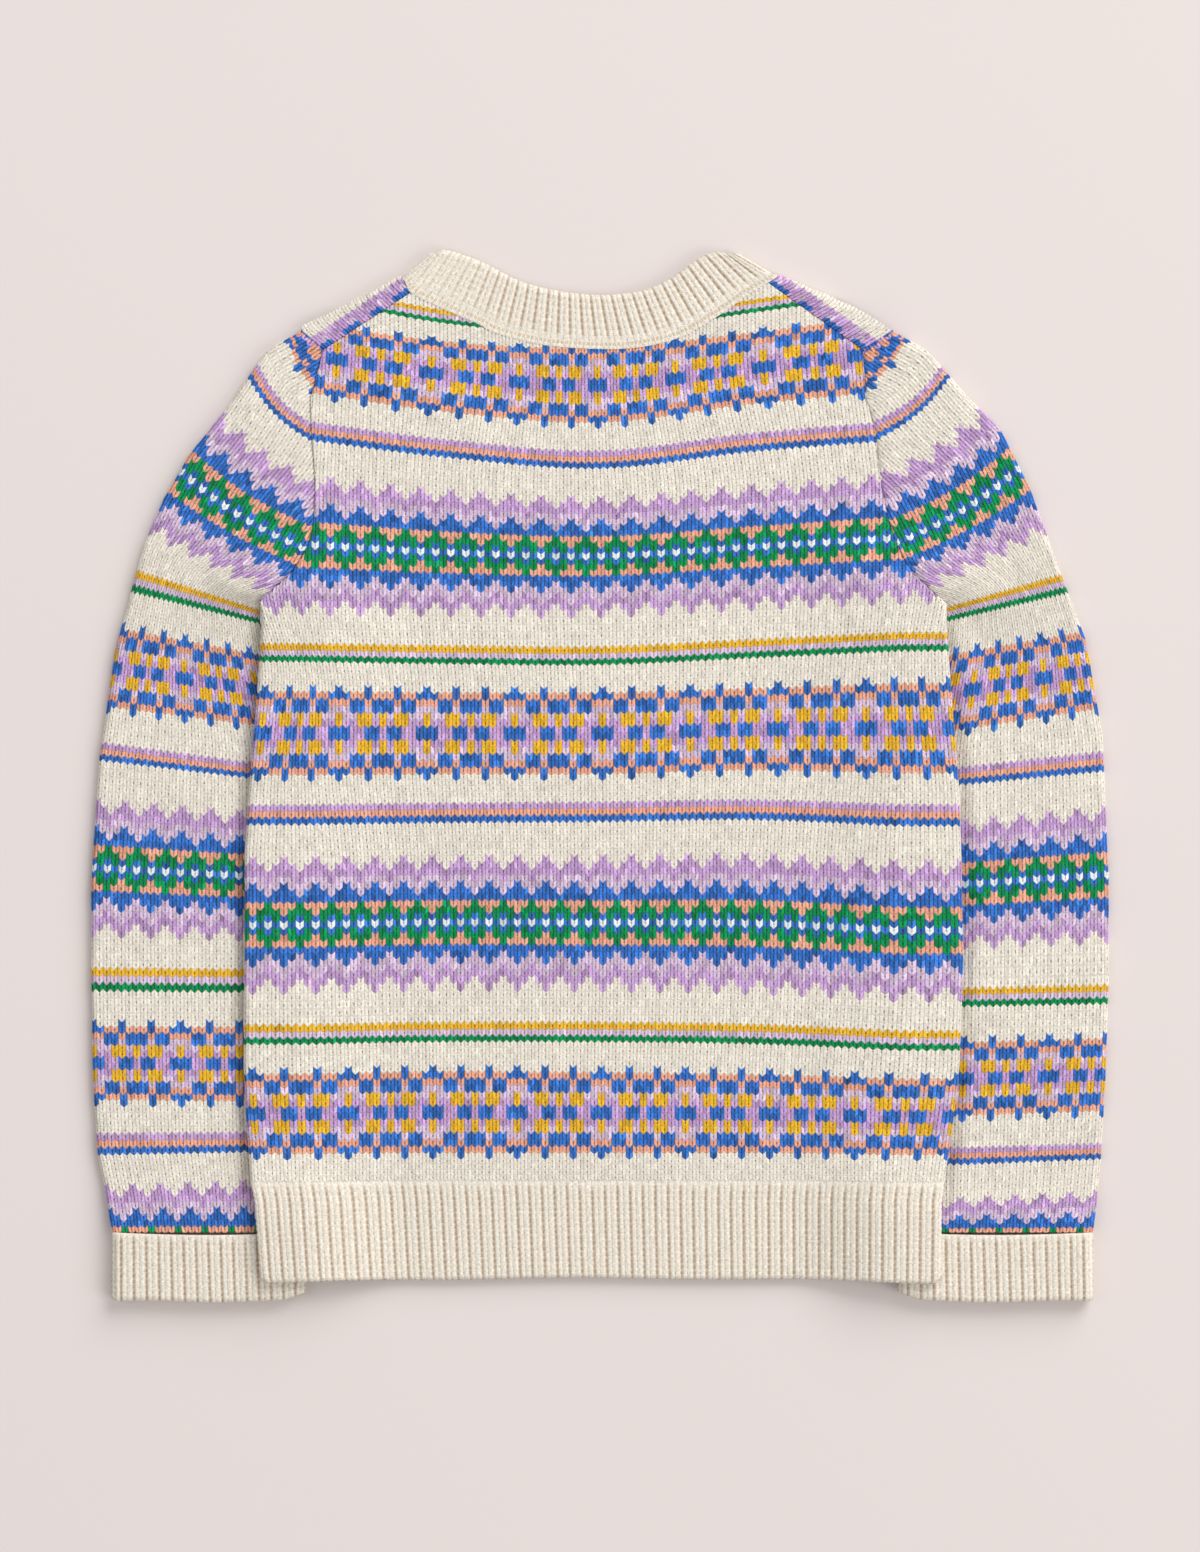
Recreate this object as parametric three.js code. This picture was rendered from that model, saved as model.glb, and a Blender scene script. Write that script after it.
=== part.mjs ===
import * as THREE from "three";

// Fair isle jumper, laid flat face down: millimetres, +X to the right, +Y toward the neck, +Z up.
// The table is the plane z = 0. The back panel lies on the front panel, and the body on both sleeves.

// Driving dimensions
const clothWall = 2.2;
const bodyHeight = 5.2;
const sleeveHeight = 4.9;
const seamGap = 0.3;
const layGap = 0.4;
const ribRelief = 0.6;
const ribPitchHem = 6.25;
const ribPitchCuff = 5.85;
const ribPitchNeck = 6.3;
const pointsPerRib = 3;

const hemTop = -202;
const hemBottom = -253.5;
const underarmY = 88;
const cuffTop = -228;
const cuffBottom = -262.8;

const cuffInnerFace = 0.3;
const cuffInnerLayer = 1.8;
const cuffLayerGap = 0.3;
const cuffOuterLayer = 2.2;
const cuffHalf = cuffInnerFace + cuffInnerLayer + cuffLayerGap + cuffOuterLayer;
const cuffHeight = 2 * cuffHalf;

// How far the body is lifted at its sides, by the sleeve and then by the cuff beneath it
const liftSleeve = sleeveHeight + layGap;
const liftCuff = cuffHeight + layGap;

const cream = 0xeee9dd;
const lilac = 0xc3a4d6;

// Side edges of the body in millimetres, from the hem to the underarm
const bodySide = [
  { y: -253.5, left: -167.5, right: 169 },
  { y: -250, left: -169, right: 169.5 },
  { y: -212, left: -172, right: 170 },
  { y: -202, left: -174, right: 171.5 },
  { y: -167, left: -176.5, right: 176.5 },
  { y: -142, left: -177.5, right: 179 },
  { y: -87, left: -177, right: 181 },
  { y: -37, left: -177, right: 180 },
  { y: -7, left: -175, right: 179 },
  { y: 38, left: -171, right: 175 },
  { y: 68, left: -169, right: 172.5 },
  { y: 88, left: -169, right: 170 },
];

// Armhole seam, from the underarm to the tip of the shoulder
const armhole = [
  { y: 88, left: -169, right: 170 },
  { y: 101, left: -154, right: 156 },
  { y: 113, left: -146, right: 149 },
  { y: 128, left: -142.5, right: 144 },
  { y: 148, left: -142, right: 140 },
  { y: 173, left: -144, right: 137.5 },
  { y: 188, left: -144.5, right: 133 },
  { y: 213, left: -138, right: 131 },
  { y: 222, left: -149, right: 146 },
];

// Rings of the left sleeve: the end at its outer fold, the end at its inner fold,
// how much of the armhole's bow it keeps, and how much of the body's lift
const sleeveRingsLeft = [
  { outerX: -149.3, outerY: 222, innerX: -169.5, innerY: 88, bow: 1, lift: 1 },
  { outerX: -166, outerY: 213, innerX: -171.5, innerY: 82, bow: 0.75, lift: 0.7 },
  { outerX: -187, outerY: 183, innerX: -172.5, innerY: 74, bow: 0.45, lift: 0.3 },
  { outerX: -205, outerY: 160.5, innerX: -172.5, innerY: 65, bow: 0.2, lift: 0 },
  { outerX: -218, outerY: 138, innerX: -165, innerY: 53, bow: 0, lift: 0 },
  { outerX: -228, outerY: 115, innerX: -156, innerY: 38, bow: 0, lift: 0 },
  { outerX: -242, outerY: 63, innerX: -149, innerY: 8, bow: 0, lift: 0 },
  { outerX: -250, outerY: 8, innerX: -147.5, innerY: -25, bow: 0, lift: 0 },
  { outerX: -254, outerY: -52, innerX: -147, innerY: -65, bow: 0, lift: 0 },
  { outerX: -254, outerY: -100, innerX: -147, innerY: -105, bow: 0, lift: 0 },
  { outerX: -252, outerY: -150, innerX: -147, innerY: -150, bow: 0, lift: 0 },
  { outerX: -248.5, outerY: -192, innerX: -147, innerY: -192, bow: 0, lift: 0 },
  { outerX: -246, outerY: -212, innerX: -147, innerY: -212, bow: 0, lift: 0 },
  { outerX: -243.5, outerY: -227.7, innerX: -147, innerY: -227.7, bow: 0, lift: 0 },
];

// Rings of the right sleeve, with the same columns
const sleeveRingsRight = [
  { outerX: 146.3, outerY: 222, innerX: 170.5, innerY: 88, bow: 1, lift: 1 },
  { outerX: 163, outerY: 213, innerX: 176, innerY: 82, bow: 0.8, lift: 0.7 },
  { outerX: 183, outerY: 190, innerX: 177.5, innerY: 74, bow: 0.45, lift: 0.3 },
  { outerX: 200, outerY: 173, innerX: 176, innerY: 65, bow: 0.2, lift: 0 },
  { outerX: 215, outerY: 143, innerX: 168, innerY: 53, bow: 0, lift: 0 },
  { outerX: 227.5, outerY: 108, innerX: 159, innerY: 38, bow: 0, lift: 0 },
  { outerX: 242.5, outerY: 68, innerX: 152, innerY: 8, bow: 0, lift: 0 },
  { outerX: 251, outerY: 20, innerX: 150.5, innerY: -25, bow: 0, lift: 0 },
  { outerX: 254, outerY: -52, innerX: 150, innerY: -65, bow: 0, lift: 0 },
  { outerX: 254, outerY: -100, innerX: 149.5, innerY: -105, bow: 0, lift: 0 },
  { outerX: 252.5, outerY: -150, innerX: 149, innerY: -150, bow: 0, lift: 0 },
  { outerX: 250, outerY: -192, innerX: 148.5, innerY: -192, bow: 0, lift: 0 },
  { outerX: 248, outerY: -212, innerX: 148.5, innerY: -212, bow: 0, lift: 0 },
  { outerX: 246, outerY: -227.7, innerX: 148.5, innerY: -227.7, bow: 0, lift: 0 },
];

// Neck seam on the back, from the left fold of the neckband to the right one
const neckSeamBack = [
  { x: -96.5, y: 247.5 },
  { x: -93, y: 242 },
  { x: -80, y: 235.5 },
  { x: -62.5, y: 228 },
  { x: -50, y: 222 },
  { x: -27.5, y: 216.5 },
  { x: 0, y: 214.5 },
  { x: 20, y: 215.5 },
  { x: 40, y: 220.5 },
  { x: 57.5, y: 230.5 },
  { x: 72.5, y: 241 },
  { x: 82, y: 246.5 },
  { x: 85.5, y: 248.5 },
];

// Free edge of the neckband on the back
const neckFreeBack = [
  { x: -82, y: 260 },
  { x: -77, y: 262.5 },
  { x: -60, y: 257 },
  { x: -40, y: 247 },
  { x: -20, y: 242 },
  { x: 0, y: 240 },
  { x: 20, y: 242 },
  { x: 35, y: 248 },
  { x: 47.5, y: 257 },
  { x: 57.5, y: 261.5 },
  { x: 66, y: 260 },
];

// Neck seam and free edge on the front, which lie lower and under the back
const neckSeamFront = [
  { x: -96.5, y: 247.5 },
  { x: -93, y: 228 },
  { x: -80, y: 205 },
  { x: -58, y: 186 },
  { x: -30, y: 176 },
  { x: -5, y: 173.5 },
  { x: 20, y: 176 },
  { x: 48, y: 186 },
  { x: 70, y: 205 },
  { x: 82.5, y: 228 },
  { x: 85.5, y: 248.5 },
];
const neckFreeFront = [
  { x: -82, y: 260 },
  { x: -72, y: 236 },
  { x: -58, y: 218 },
  { x: -34, y: 204 },
  { x: -6, y: 199 },
  { x: 22, y: 204 },
  { x: 44, y: 218 },
  { x: 58, y: 236 },
  { x: 66, y: 260 },
];

// Fold of the front panel at the shoulders, and the shoulder seam that it reaches on the back
const shoulders = [
  { side: "left", tipX: -148.5, tipY: 221.8, midX: -124.5, midY: 233.2 },
  { side: "right", tipX: 145.4, tipY: 221.8, midX: 117, midY: 235.5 },
];
const shoulderSeams = [
  { side: "left", armX: -137.8, armY: 212.8 },
  { side: "right", armX: 130.8, armY: 212.8 },
];

function smooth(edge0, edge1, value) {
  return THREE.MathUtils.smoothstep(value, edge0, edge1);
}

function lerp(a, b, t) {
  return a + (b - a) * t;
}

// Value of a column of a table at the height y, straight between its rows
function tableAt(table, column, y) {
  const rising = table[0].y < table[table.length - 1].y ? table : [...table].reverse();
  if (y <= rising[0].y) {
    return rising[0][column];
  }
  for (let i = 1; i < rising.length; i++) {
    const low = rising[i - 1];
    const high = rising[i];
    if (y <= high.y) {
      return lerp(low[column], high[column], (y - low.y) / (high.y - low.y));
    }
  }
  return rising[rising.length - 1][column];
}

function curveOf(points) {
  return new THREE.SplineCurve(points.map((p) => new THREE.Vector2(p.x, p.y)));
}

// Side edge of the body at the height y, along the side seam and then the armhole
function bodyEdge(side, y) {
  return y <= underarmY ? tableAt(bodySide, side, y) : tableAt(armhole, side, y);
}

// Height of the body's underside over the table, which the tucked sleeves and cuffs raise
const rampFrom = 0.095;
const rampTo = 0.148;
function bodyLift(x, y) {
  const left = bodyEdge("left", y);
  const right = bodyEdge("right", y);
  const t = (x - left) / (right - left);
  const beside = 1 - smooth(rampFrom, rampTo, Math.min(t, 1 - t));
  const overSleeve = liftSleeve * (1 - smooth(90, 135, y));
  const overCuff = (liftCuff - liftSleeve) * (1 - smooth(-222, -180, y));
  return beside * (overSleeve + overCuff);
}

// Closed wall over a grid of cells: outer and inner points, with a rim wherever a cell has no neighbour.
// A grid with turn set closes on itself across its columns.
function wall({ rows, columns, outer, inner, turn = false, present = () => true, flip = false }) {
  const across = turn ? columns : columns + 1;
  const positions = [];
  for (const place of [outer, inner]) {
    for (let i = 0; i <= rows; i++) {
      for (let j = 0; j < across; j++) {
        const p = place(i, j);
        positions.push(p[0], p[1], p[2]);
      }
    }
  }
  const layer = (rows + 1) * across;
  const at = (side, i, j) => side * layer + i * across + (turn ? (j + columns) % columns : j);
  const faces = [];
  const quad = (a, b, c, d) => {
    if (flip) {
      faces.push(a, c, b, a, d, c);
    } else {
      faces.push(a, b, c, a, c, d);
    }
  };
  const has = (i, j) => {
    if (i < 0 || i >= rows) {
      return false;
    }
    if (!turn && (j < 0 || j >= columns)) {
      return false;
    }
    return present(i, j);
  };
  for (let i = 0; i < rows; i++) {
    for (let j = 0; j < columns; j++) {
      if (!has(i, j)) {
        continue;
      }
      quad(at(0, i, j), at(0, i, j + 1), at(0, i + 1, j + 1), at(0, i + 1, j));
      quad(at(1, i, j), at(1, i + 1, j), at(1, i + 1, j + 1), at(1, i, j + 1));
      if (!has(i - 1, j)) {
        quad(at(0, i, j + 1), at(0, i, j), at(1, i, j), at(1, i, j + 1));
      }
      if (!has(i + 1, j)) {
        quad(at(0, i + 1, j), at(0, i + 1, j + 1), at(1, i + 1, j + 1), at(1, i + 1, j));
      }
      if (!has(i, j - 1)) {
        quad(at(0, i, j), at(0, i + 1, j), at(1, i + 1, j), at(1, i, j));
      }
      if (!has(i, j + 1)) {
        quad(at(0, i + 1, j + 1), at(0, i, j + 1), at(1, i, j + 1), at(1, i + 1, j + 1));
      }
    }
  }
  return geometryOf(positions, faces);
}

function geometryOf(positions, faces) {
  const used = new Map();
  const kept = [];
  const index = faces.map((v) => {
    if (!used.has(v)) {
      used.set(v, kept.length / 3);
      kept.push(positions[3 * v], positions[3 * v + 1], positions[3 * v + 2]);
    }
    return used.get(v);
  });
  const geometry = new THREE.BufferGeometry();
  geometry.setAttribute("position", new THREE.Float32BufferAttribute(kept, 3));
  geometry.setIndex(index);
  geometry.computeVertexNormals();
  return geometry;
}

// A point across the body, as used by the panels and the hem.
// t runs from 0 at the left edge to 1 at the right edge. The ends curl to half the body's height.
const edgeRadius = bodyHeight / 2 - seamGap / 2;
function acrossBody({ left, right, t, y, round, depth, front = false }) {
  const width = right - left;
  const run = Math.min(t, 1 - t) * width;
  const toRight = t > 0.5 ? -1 : 1;
  const turn = Math.min(run / edgeRadius, 1);
  const angle = (turn * Math.PI) / 2;
  const inX = edgeRadius * (1 - Math.cos(angle));
  const drop = edgeRadius * (1 - Math.sin(angle)) * round;
  const edge = t > 0.5 ? right : left;
  const outX = run < edgeRadius ? inX : run;
  const shrink = depth * (1 - turn) * round;
  const x = edge + toRight * (outX + shrink);
  const rise = depth * (turn * round + 1 - round);
  const lift = bodyLift(x, y);
  const z = front ? drop + rise : bodyHeight - drop - rise;
  return [x, y, lift + z];
}

const neckColumns = 12;

// Corners of a neck seam, which the panel and the neckband share
function neckCorners(table) {
  const ends = table === neckSeamBack ? 0.035 : 0.0125;
  const curve = curveOf(table);
  const corners = [];
  for (let k = 0; k <= neckColumns; k++) {
    corners.push(curve.getPointAt(lerp(ends, 1 - ends, k / neckColumns)));
  }
  return corners;
}

// Places of the columns across the body: close together where the edges curl and the ramp bends,
// then one under each corner of the front's neck seam
const sidePlaces = [0, 0.003, 0.0055, 0.0076, 0.05, rampFrom, 0.112, 0.131, rampTo];
const neckFrom = sidePlaces.length;
const neckTo = neckFrom + neckColumns;
const allColumns = neckTo + neckFrom;
const neckPlaces = neckCorners(neckSeamFront).map((p) => {
  const [left, right] = shoulders;
  return (p.x - left.tipX) / (right.tipX - left.tipX);
});
function columnPlace(j) {
  if (j < neckFrom) {
    return sidePlaces[j];
  }
  if (j > neckTo) {
    return 1 - sidePlaces[allColumns - j];
  }
  return neckPlaces[j - neckFrom];
}

// Rows of a panel below its shaped top
const panelRows = [-201.85, -180, -150, -115, -80, -45, -10, 25, 55, 74, 88, 101, 113, 128, 148];

// Share of the wrapped rows that make the fold itself
const foldShare = 0.8;

function roundAt(y) {
  return 1 - smooth(78, 90, y);
}

// Top edge of the back panel: shoulder seams and the neck seam between them
function backTop(j) {
  const [left, right] = shoulderSeams;
  const corners = neckCorners(neckSeamBack);
  if (j < neckFrom) {
    const t = j / neckFrom;
    return [lerp(left.armX, corners[0].x, t), lerp(left.armY, corners[0].y, t)];
  }
  if (j > neckTo) {
    const t = (allColumns - j) / neckFrom;
    const last = corners[neckColumns];
    return [lerp(right.armX, last.x, t), lerp(right.armY, last.y, t)];
  }
  const p = corners[j - neckFrom];
  return [p.x, p.y];
}

// Top edge of the front panel: the shoulder folds and the deeper neck seam
function frontTop(j) {
  const [left, right] = shoulders;
  const corners = neckCorners(neckSeamFront);
  const along = (s, neck, t) => {
    if (t < 0.5) {
      return [lerp(s.tipX, s.midX, 2 * t), lerp(s.tipY, s.midY, 2 * t)];
    }
    return [lerp(s.midX, neck.x, 2 * t - 1), lerp(s.midY, neck.y, 2 * t - 1)];
  };
  if (j <= neckFrom) {
    return along(left, corners[0], j / neckFrom);
  }
  if (j >= neckTo) {
    return along(right, corners[neckColumns], (allColumns - j) / neckFrom);
  }
  const p = corners[j - neckFrom];
  return [p.x, p.y];
}

// A row between the last straight one, at baseY, and the shaped top, whose ends follow the armhole
function shapedRow({ j, y, baseY, top }) {
  const bend = (y - baseY) / (top(0)[1] - baseY);
  const baseX = lerp(bodyEdge("left", baseY), bodyEdge("right", baseY), columnPlace(j));
  const [topX, topY] = top(j);
  const side = j < allColumns / 2 ? "left" : "right";
  const fromEdge = Math.min(j, allColumns - j);
  const nearEdge = Math.max(0, 1 - fromEdge / neckFrom);
  const edgeTopX = top(side === "left" ? 0 : allColumns)[0];
  const bow = bodyEdge(side, y) - lerp(bodyEdge(side, baseY), edgeTopX, bend);
  return [lerp(baseX, topX, bend) + nearEdge * bow, lerp(baseY, topY, bend)];
}

function backPanel() {
  const straight = [...panelRows, 173, 188];
  const shaped = [200, 207, shoulderSeams[0].armY];
  const last = straight.length - 1;
  const place = (depth) => (i, j) => {
    const y = straight[Math.min(i, last)];
    const left = bodyEdge("left", y);
    const right = bodyEdge("right", y);
    const point = acrossBody({ left, right, t: columnPlace(j), y, round: roundAt(y), depth });
    if (i > last) {
      const [x, bentY] = shapedRow({ j, y: shaped[i - last - 1], baseY: y, top: backTop });
      return [x, bentY, point[2]];
    }
    return point;
  };
  return wall({ rows: last + shaped.length, columns: allColumns, outer: place(0), inner: place(clothWall) });
}

// The front panel turns over the shoulder and ends at the shoulder seam on the back
function frontPanel() {
  const straight = [...panelRows, 162];
  const shaped = [173, 188, 213, shoulders[0].tipY];
  const wrapped = 5;
  const last = straight.length - 1;
  const fold = last + shaped.length;
  const seamEnd = (j) => {
    const [left, right] = shoulderSeams;
    const corners = neckCorners(neckSeamBack);
    const beyond = seamGap;
    if (j <= neckFrom) {
      const t = j / neckFrom;
      const p = corners[0];
      return [lerp(left.armX, p.x - beyond, t), lerp(left.armY, p.y, t) + beyond];
    }
    const t = (allColumns - j) / neckFrom;
    const p = corners[neckColumns];
    return [lerp(right.armX, p.x + beyond, t), lerp(right.armY, p.y, t) + beyond];
  };
  const place = (depth) => (i, j) => {
    const y = straight[Math.min(i, last)];
    const left = bodyEdge("left", y);
    const right = bodyEdge("right", y);
    if (i <= last) {
      return acrossBody({ left, right, t: columnPlace(j), y, round: roundAt(y), depth, front: true });
    }
    if (i <= fold) {
      const [x, bentY] = shapedRow({ j, y: shaped[i - last - 1], baseY: y, top: frontTop });
      return [x, bentY, depth];
    }
    const [topX, topY] = frontTop(j);
    const turn = (i - fold) / wrapped;
    const [seamX, seamY] = seamEnd(j);
    const radius = bodyHeight / 2;
    const reach = radius - depth;
    const angle = Math.min(turn / foldShare, 1) * Math.PI;
    const over = Math.max(0, (turn - foldShare) / (1 - foldShare));
    const outward = Math.sin(angle) * reach;
    return [
      lerp(topX, seamX, over),
      lerp(topY, seamY, over) + outward,
      radius - reach * Math.cos(angle),
    ];
  };
  const present = (i, j) => i < fold || j < neckFrom || j >= neckTo;
  return wall({
    rows: fold + wrapped,
    columns: allColumns,
    outer: place(0),
    inner: place(clothWall),
    present,
    flip: true,
  });
}

// Rib: a narrow groove and two raised points for each repeat
function ribAt(index) {
  return index % pointsPerRib === 0 ? 0 : ribRelief;
}

function hemRib(front) {
  const rowsAt = [hemBottom, -226, hemTop - seamGap / 2];
  const width = tableAt(bodySide, "right", hemTop) - tableAt(bodySide, "left", hemTop);
  const ribs = Math.round(width / ribPitchHem);
  const columns = ribs * pointsPerRib;
  const place = (inside) => (i, j) => {
    const y = rowsAt[i];
    const left = bodyEdge("left", y);
    const right = bodyEdge("right", y);
    const groove = ribRelief - ribAt(j);
    const depth = inside ? clothWall : groove;
    return acrossBody({ left, right, t: j / columns, y, round: 1, depth, front });
  };
  return wall({ rows: rowsAt.length - 1, columns, outer: place(false), inner: place(true), flip: front });
}

// Closed path round a flattened tube: half the points over the top, half under it.
// Gives the place across, from 0 to 1, and the turn round the ends.
function flatRing(index, count, halfWidth, radius) {
  const flat = 2 * (halfWidth - radius);
  const bend = Math.PI * radius;
  const total = 2 * (flat + bend);
  let run = (index / count) * total;
  if (run < flat) {
    return [-halfWidth + radius + run, radius];
  }
  run -= flat;
  if (run < bend) {
    const angle = run / radius;
    return [halfWidth - radius + radius * Math.sin(angle), radius * Math.cos(angle)];
  }
  run -= bend;
  if (run < flat) {
    return [halfWidth - radius - run, -radius];
  }
  run -= flat;
  const angle = run / radius;
  return [-halfWidth + radius - radius * Math.sin(angle), -radius * Math.cos(angle)];
}

// Places round a sleeve's ring: at the armhole's rows over the flats, close together at the two folds
const flatSteps = armhole.length - 1;
const bendSteps = 4;
const ringPoints = 2 * (flatSteps + bendSteps);
function flatPlace(k) {
  const low = armhole[0].y;
  const high = armhole[flatSteps].y;
  return (high - armhole[flatSteps - k].y) / (high - low);
}
function sleeveRing(j, halfWidth, radius) {
  const half = flatSteps + bendSteps;
  const top = j < half;
  const k = top ? j : j - half;
  const straight = halfWidth - sleeveHeight / 2;
  if (k < flatSteps) {
    const f = top ? flatPlace(k) : flatPlace(flatSteps - k);
    return [lerp(-straight, straight, f), top ? radius : -radius];
  }
  const sign = top ? 1 : -1;
  const angle = ((k - flatSteps) / bendSteps) * Math.PI;
  return [sign * (straight + radius * Math.sin(angle)), sign * radius * Math.cos(angle)];
}

function sleeve(rings, side) {
  const first = rings[0];
  const outward = side === "left" ? -1 : 1;
  // How far the armhole bows from the straight line between the first ring's ends
  const bowAt = (s) => {
    const y = lerp(armhole[flatSteps].y, armhole[0].y, s);
    const onLine = lerp(first.outerX, first.innerX, s);
    const clear = seamGap + 0.1 + 1.8 * smooth(0.85, 1, s);
    return tableAt(armhole, side, y) + outward * clear - onLine;
  };
  const place = (depth) => (i, j) => {
    const ring = rings[i];
    const dx = ring.innerX - ring.outerX;
    const dy = ring.innerY - ring.outerY;
    const length = Math.hypot(dx, dy);
    const radius = sleeveHeight / 2;
    const [across, up] = sleeveRing(j, length / 2, radius - depth);
    const straight = length / 2 - radius;
    const inset = (radius * (1 - ring.bow)) / length;
    const s = THREE.MathUtils.clamp(across / (2 * straight) + 0.5, 0, 1);
    const beyond = across - THREE.MathUtils.clamp(across, -straight, straight);
    const along = lerp(inset, 1 - inset, s);
    const x = ring.outerX + dx * along + (dx / length) * beyond + ring.bow * bowAt(s);
    const y = ring.outerY + dy * along + (dy / length) * beyond;
    const toCuff = (cuffHalf - radius) * (1 - smooth(-226, -196, y));
    const lift = ring.lift * bodyLift(x, y) + toCuff;
    return [x, y, radius + up + lift];
  };
  const flip = side === "left";
  return wall({
    rows: rings.length - 1,
    columns: ringPoints,
    outer: place(0),
    inner: place(clothWall),
    turn: true,
    flip,
  });
}

// Turned back cuff: one wall that runs down, turns outward at the bottom and comes back up outside
function cuff(left, right) {
  const width = right - left;
  const around = 2 * width;
  const ribs = Math.round(around / ribPitchCuff);
  const count = ribs * pointsPerRib;
  const outerInside = cuffInnerFace + cuffInnerLayer + cuffLayerGap;
  const foldRadius = cuffHalf - cuffInnerFace;
  const foldSteps = 3;
  const profile = [
    { offset: cuffInnerFace, y: cuffTop, rib: 0 },
    { offset: cuffInnerFace, y: cuffBottom + foldRadius / 2, rib: 0 },
  ];
  for (let k = 1; k < foldSteps; k++) {
    const angle = (k / foldSteps) * Math.PI;
    profile.push({
      offset: cuffInnerFace + (foldRadius / 2) * (1 - Math.cos(angle)),
      y: cuffBottom + (foldRadius / 2) * (1 - Math.sin(angle)),
      rib: k / foldSteps,
    });
  }
  profile.push({ offset: cuffHalf, y: cuffBottom + foldRadius / 2, rib: 1 });
  profile.push({ offset: cuffHalf, y: cuffTop, rib: 1 });
  profile.push({ offset: outerInside, y: cuffTop, rib: 0 });
  profile.push({ offset: outerInside, y: cuffBottom + foldRadius / 2, rib: 0 });
  profile.push({ offset: outerInside - cuffLayerGap, y: cuffBottom + foldRadius / 2, rib: 0 });
  profile.push({ offset: outerInside - cuffLayerGap, y: cuffTop, rib: 0 });
  const middle = (left + right) / 2;
  const positions = [];
  for (let j = 0; j < count; j++) {
    const [across, up] = flatRing(j, count, width / 2, cuffHalf);
    const straight = width / 2 - cuffHalf;
    const centre = THREE.MathUtils.clamp(across, -straight, straight);
    const outX = (across - centre) / cuffHalf;
    const outZ = up / cuffHalf;
    for (const p of profile) {
      const groove = p.rib * (ribRelief - ribAt(j));
      const offset = p.offset - groove;
      positions.push(middle + centre + outX * offset, p.y, cuffHalf + outZ * offset);
    }
  }
  const steps = profile.length;
  const faces = [];
  for (let j = 0; j < count; j++) {
    const next = (j + 1) % count;
    for (let k = 0; k < steps; k++) {
      const up = (k + 1) % steps;
      const a = j * steps + k;
      const b = next * steps + k;
      const c = next * steps + up;
      const d = j * steps + up;
      faces.push(a, b, c, a, c, d);
    }
  }
  return geometryOf(positions, faces);
}

// Ribbed band round the neck: over the back on top, turned at both shoulders, and under it the front
function neckband() {
  const freeBack = curveOf(neckFreeBack);
  const freeFront = curveOf(neckFreeFront);
  // Seam through the same corners as the panel's edge
  const seamOf = (table) => {
    const path = new THREE.CurvePath();
    const ends = [table[0], table[table.length - 1]].map((p) => new THREE.Vector2(p.x, p.y));
    const corners = [ends[0], ...neckCorners(table), ends[1]];
    for (let k = 1; k < corners.length; k++) {
      path.add(new THREE.LineCurve(corners[k - 1], corners[k]));
    }
    return path;
  };
  const seamBack = seamOf(neckSeamBack);
  const seamFront = seamOf(neckSeamFront);
  const backSteps = Math.round(freeBack.getLength() * 1.08 / ribPitchNeck) * pointsPerRib;
  const frontSteps = Math.round(freeFront.getLength() * 1.08 / ribPitchNeck) * pointsPerRib;
  const turnSteps = 3;
  const seamClear = seamGap + 0.15;
  const count = backSteps + frontSteps + 2 * turnSteps;
  const radius = bodyHeight / 2;
  const rows = 1;
  const place = (inside) => (i, j) => {
    const groove = inside ? clothWall : ribRelief - ribAt(j);
    const reach = radius - groove;
    let t = 0;
    let angle = 0;
    let back = true;
    if (j <= backSteps) {
      t = j / backSteps;
    } else if (j < backSteps + turnSteps) {
      t = 1;
      angle = ((j - backSteps) / turnSteps) * Math.PI;
    } else if (j <= backSteps + turnSteps + frontSteps) {
      back = false;
      t = 1 - (j - backSteps - turnSteps) / frontSteps;
      angle = Math.PI;
    } else {
      back = false;
      t = 0;
      angle = ((count - j) / turnSteps) * Math.PI;
    }
    const free = (back ? freeBack : freeFront).getPointAt(t);
    const path = back ? seamBack : seamFront;
    const seam = path.getPointAt(t);
    const along = path.getTangentAt(t);
    const f = i / rows;
    const x = lerp(seam.x - along.y * seamClear, free.x, f);
    const y = lerp(seam.y + along.x * seamClear, free.y, f);
    const side = t > 0.5 ? 1 : -1;
    const outward = Math.sin(angle) * reach;
    return [x + side * outward * 0.75, y + outward * 0.6, radius + Math.cos(angle) * reach];
  };
  return wall({ rows, columns: count, outer: place(false), inner: place(true), turn: true });
}

function pieceOf(name, geometry, color) {
  const material = new THREE.MeshStandardMaterial({ color, roughness: 0.92, metalness: 0 });
  const mesh = new THREE.Mesh(geometry, material);
  mesh.name = name;
  return mesh;
}

const group = new THREE.Group();
group.add(pieceOf("front_panel", frontPanel(), lilac));
group.add(pieceOf("back_panel", backPanel(), lilac));
group.add(pieceOf("sleeve_left", sleeve(sleeveRingsLeft, "left"), lilac));
group.add(pieceOf("sleeve_right", sleeve(sleeveRingsRight, "right"), lilac));
group.add(pieceOf("cuff_left", cuff(-243.5, -147), cream));
group.add(pieceOf("cuff_right", cuff(148.5, 246), cream));
group.add(pieceOf("hem_rib_back", hemRib(false), cream));
group.add(pieceOf("hem_rib_front", hemRib(true), cream));
group.add(pieceOf("neckband", neckband(), cream));

export default group;
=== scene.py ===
import math

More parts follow.
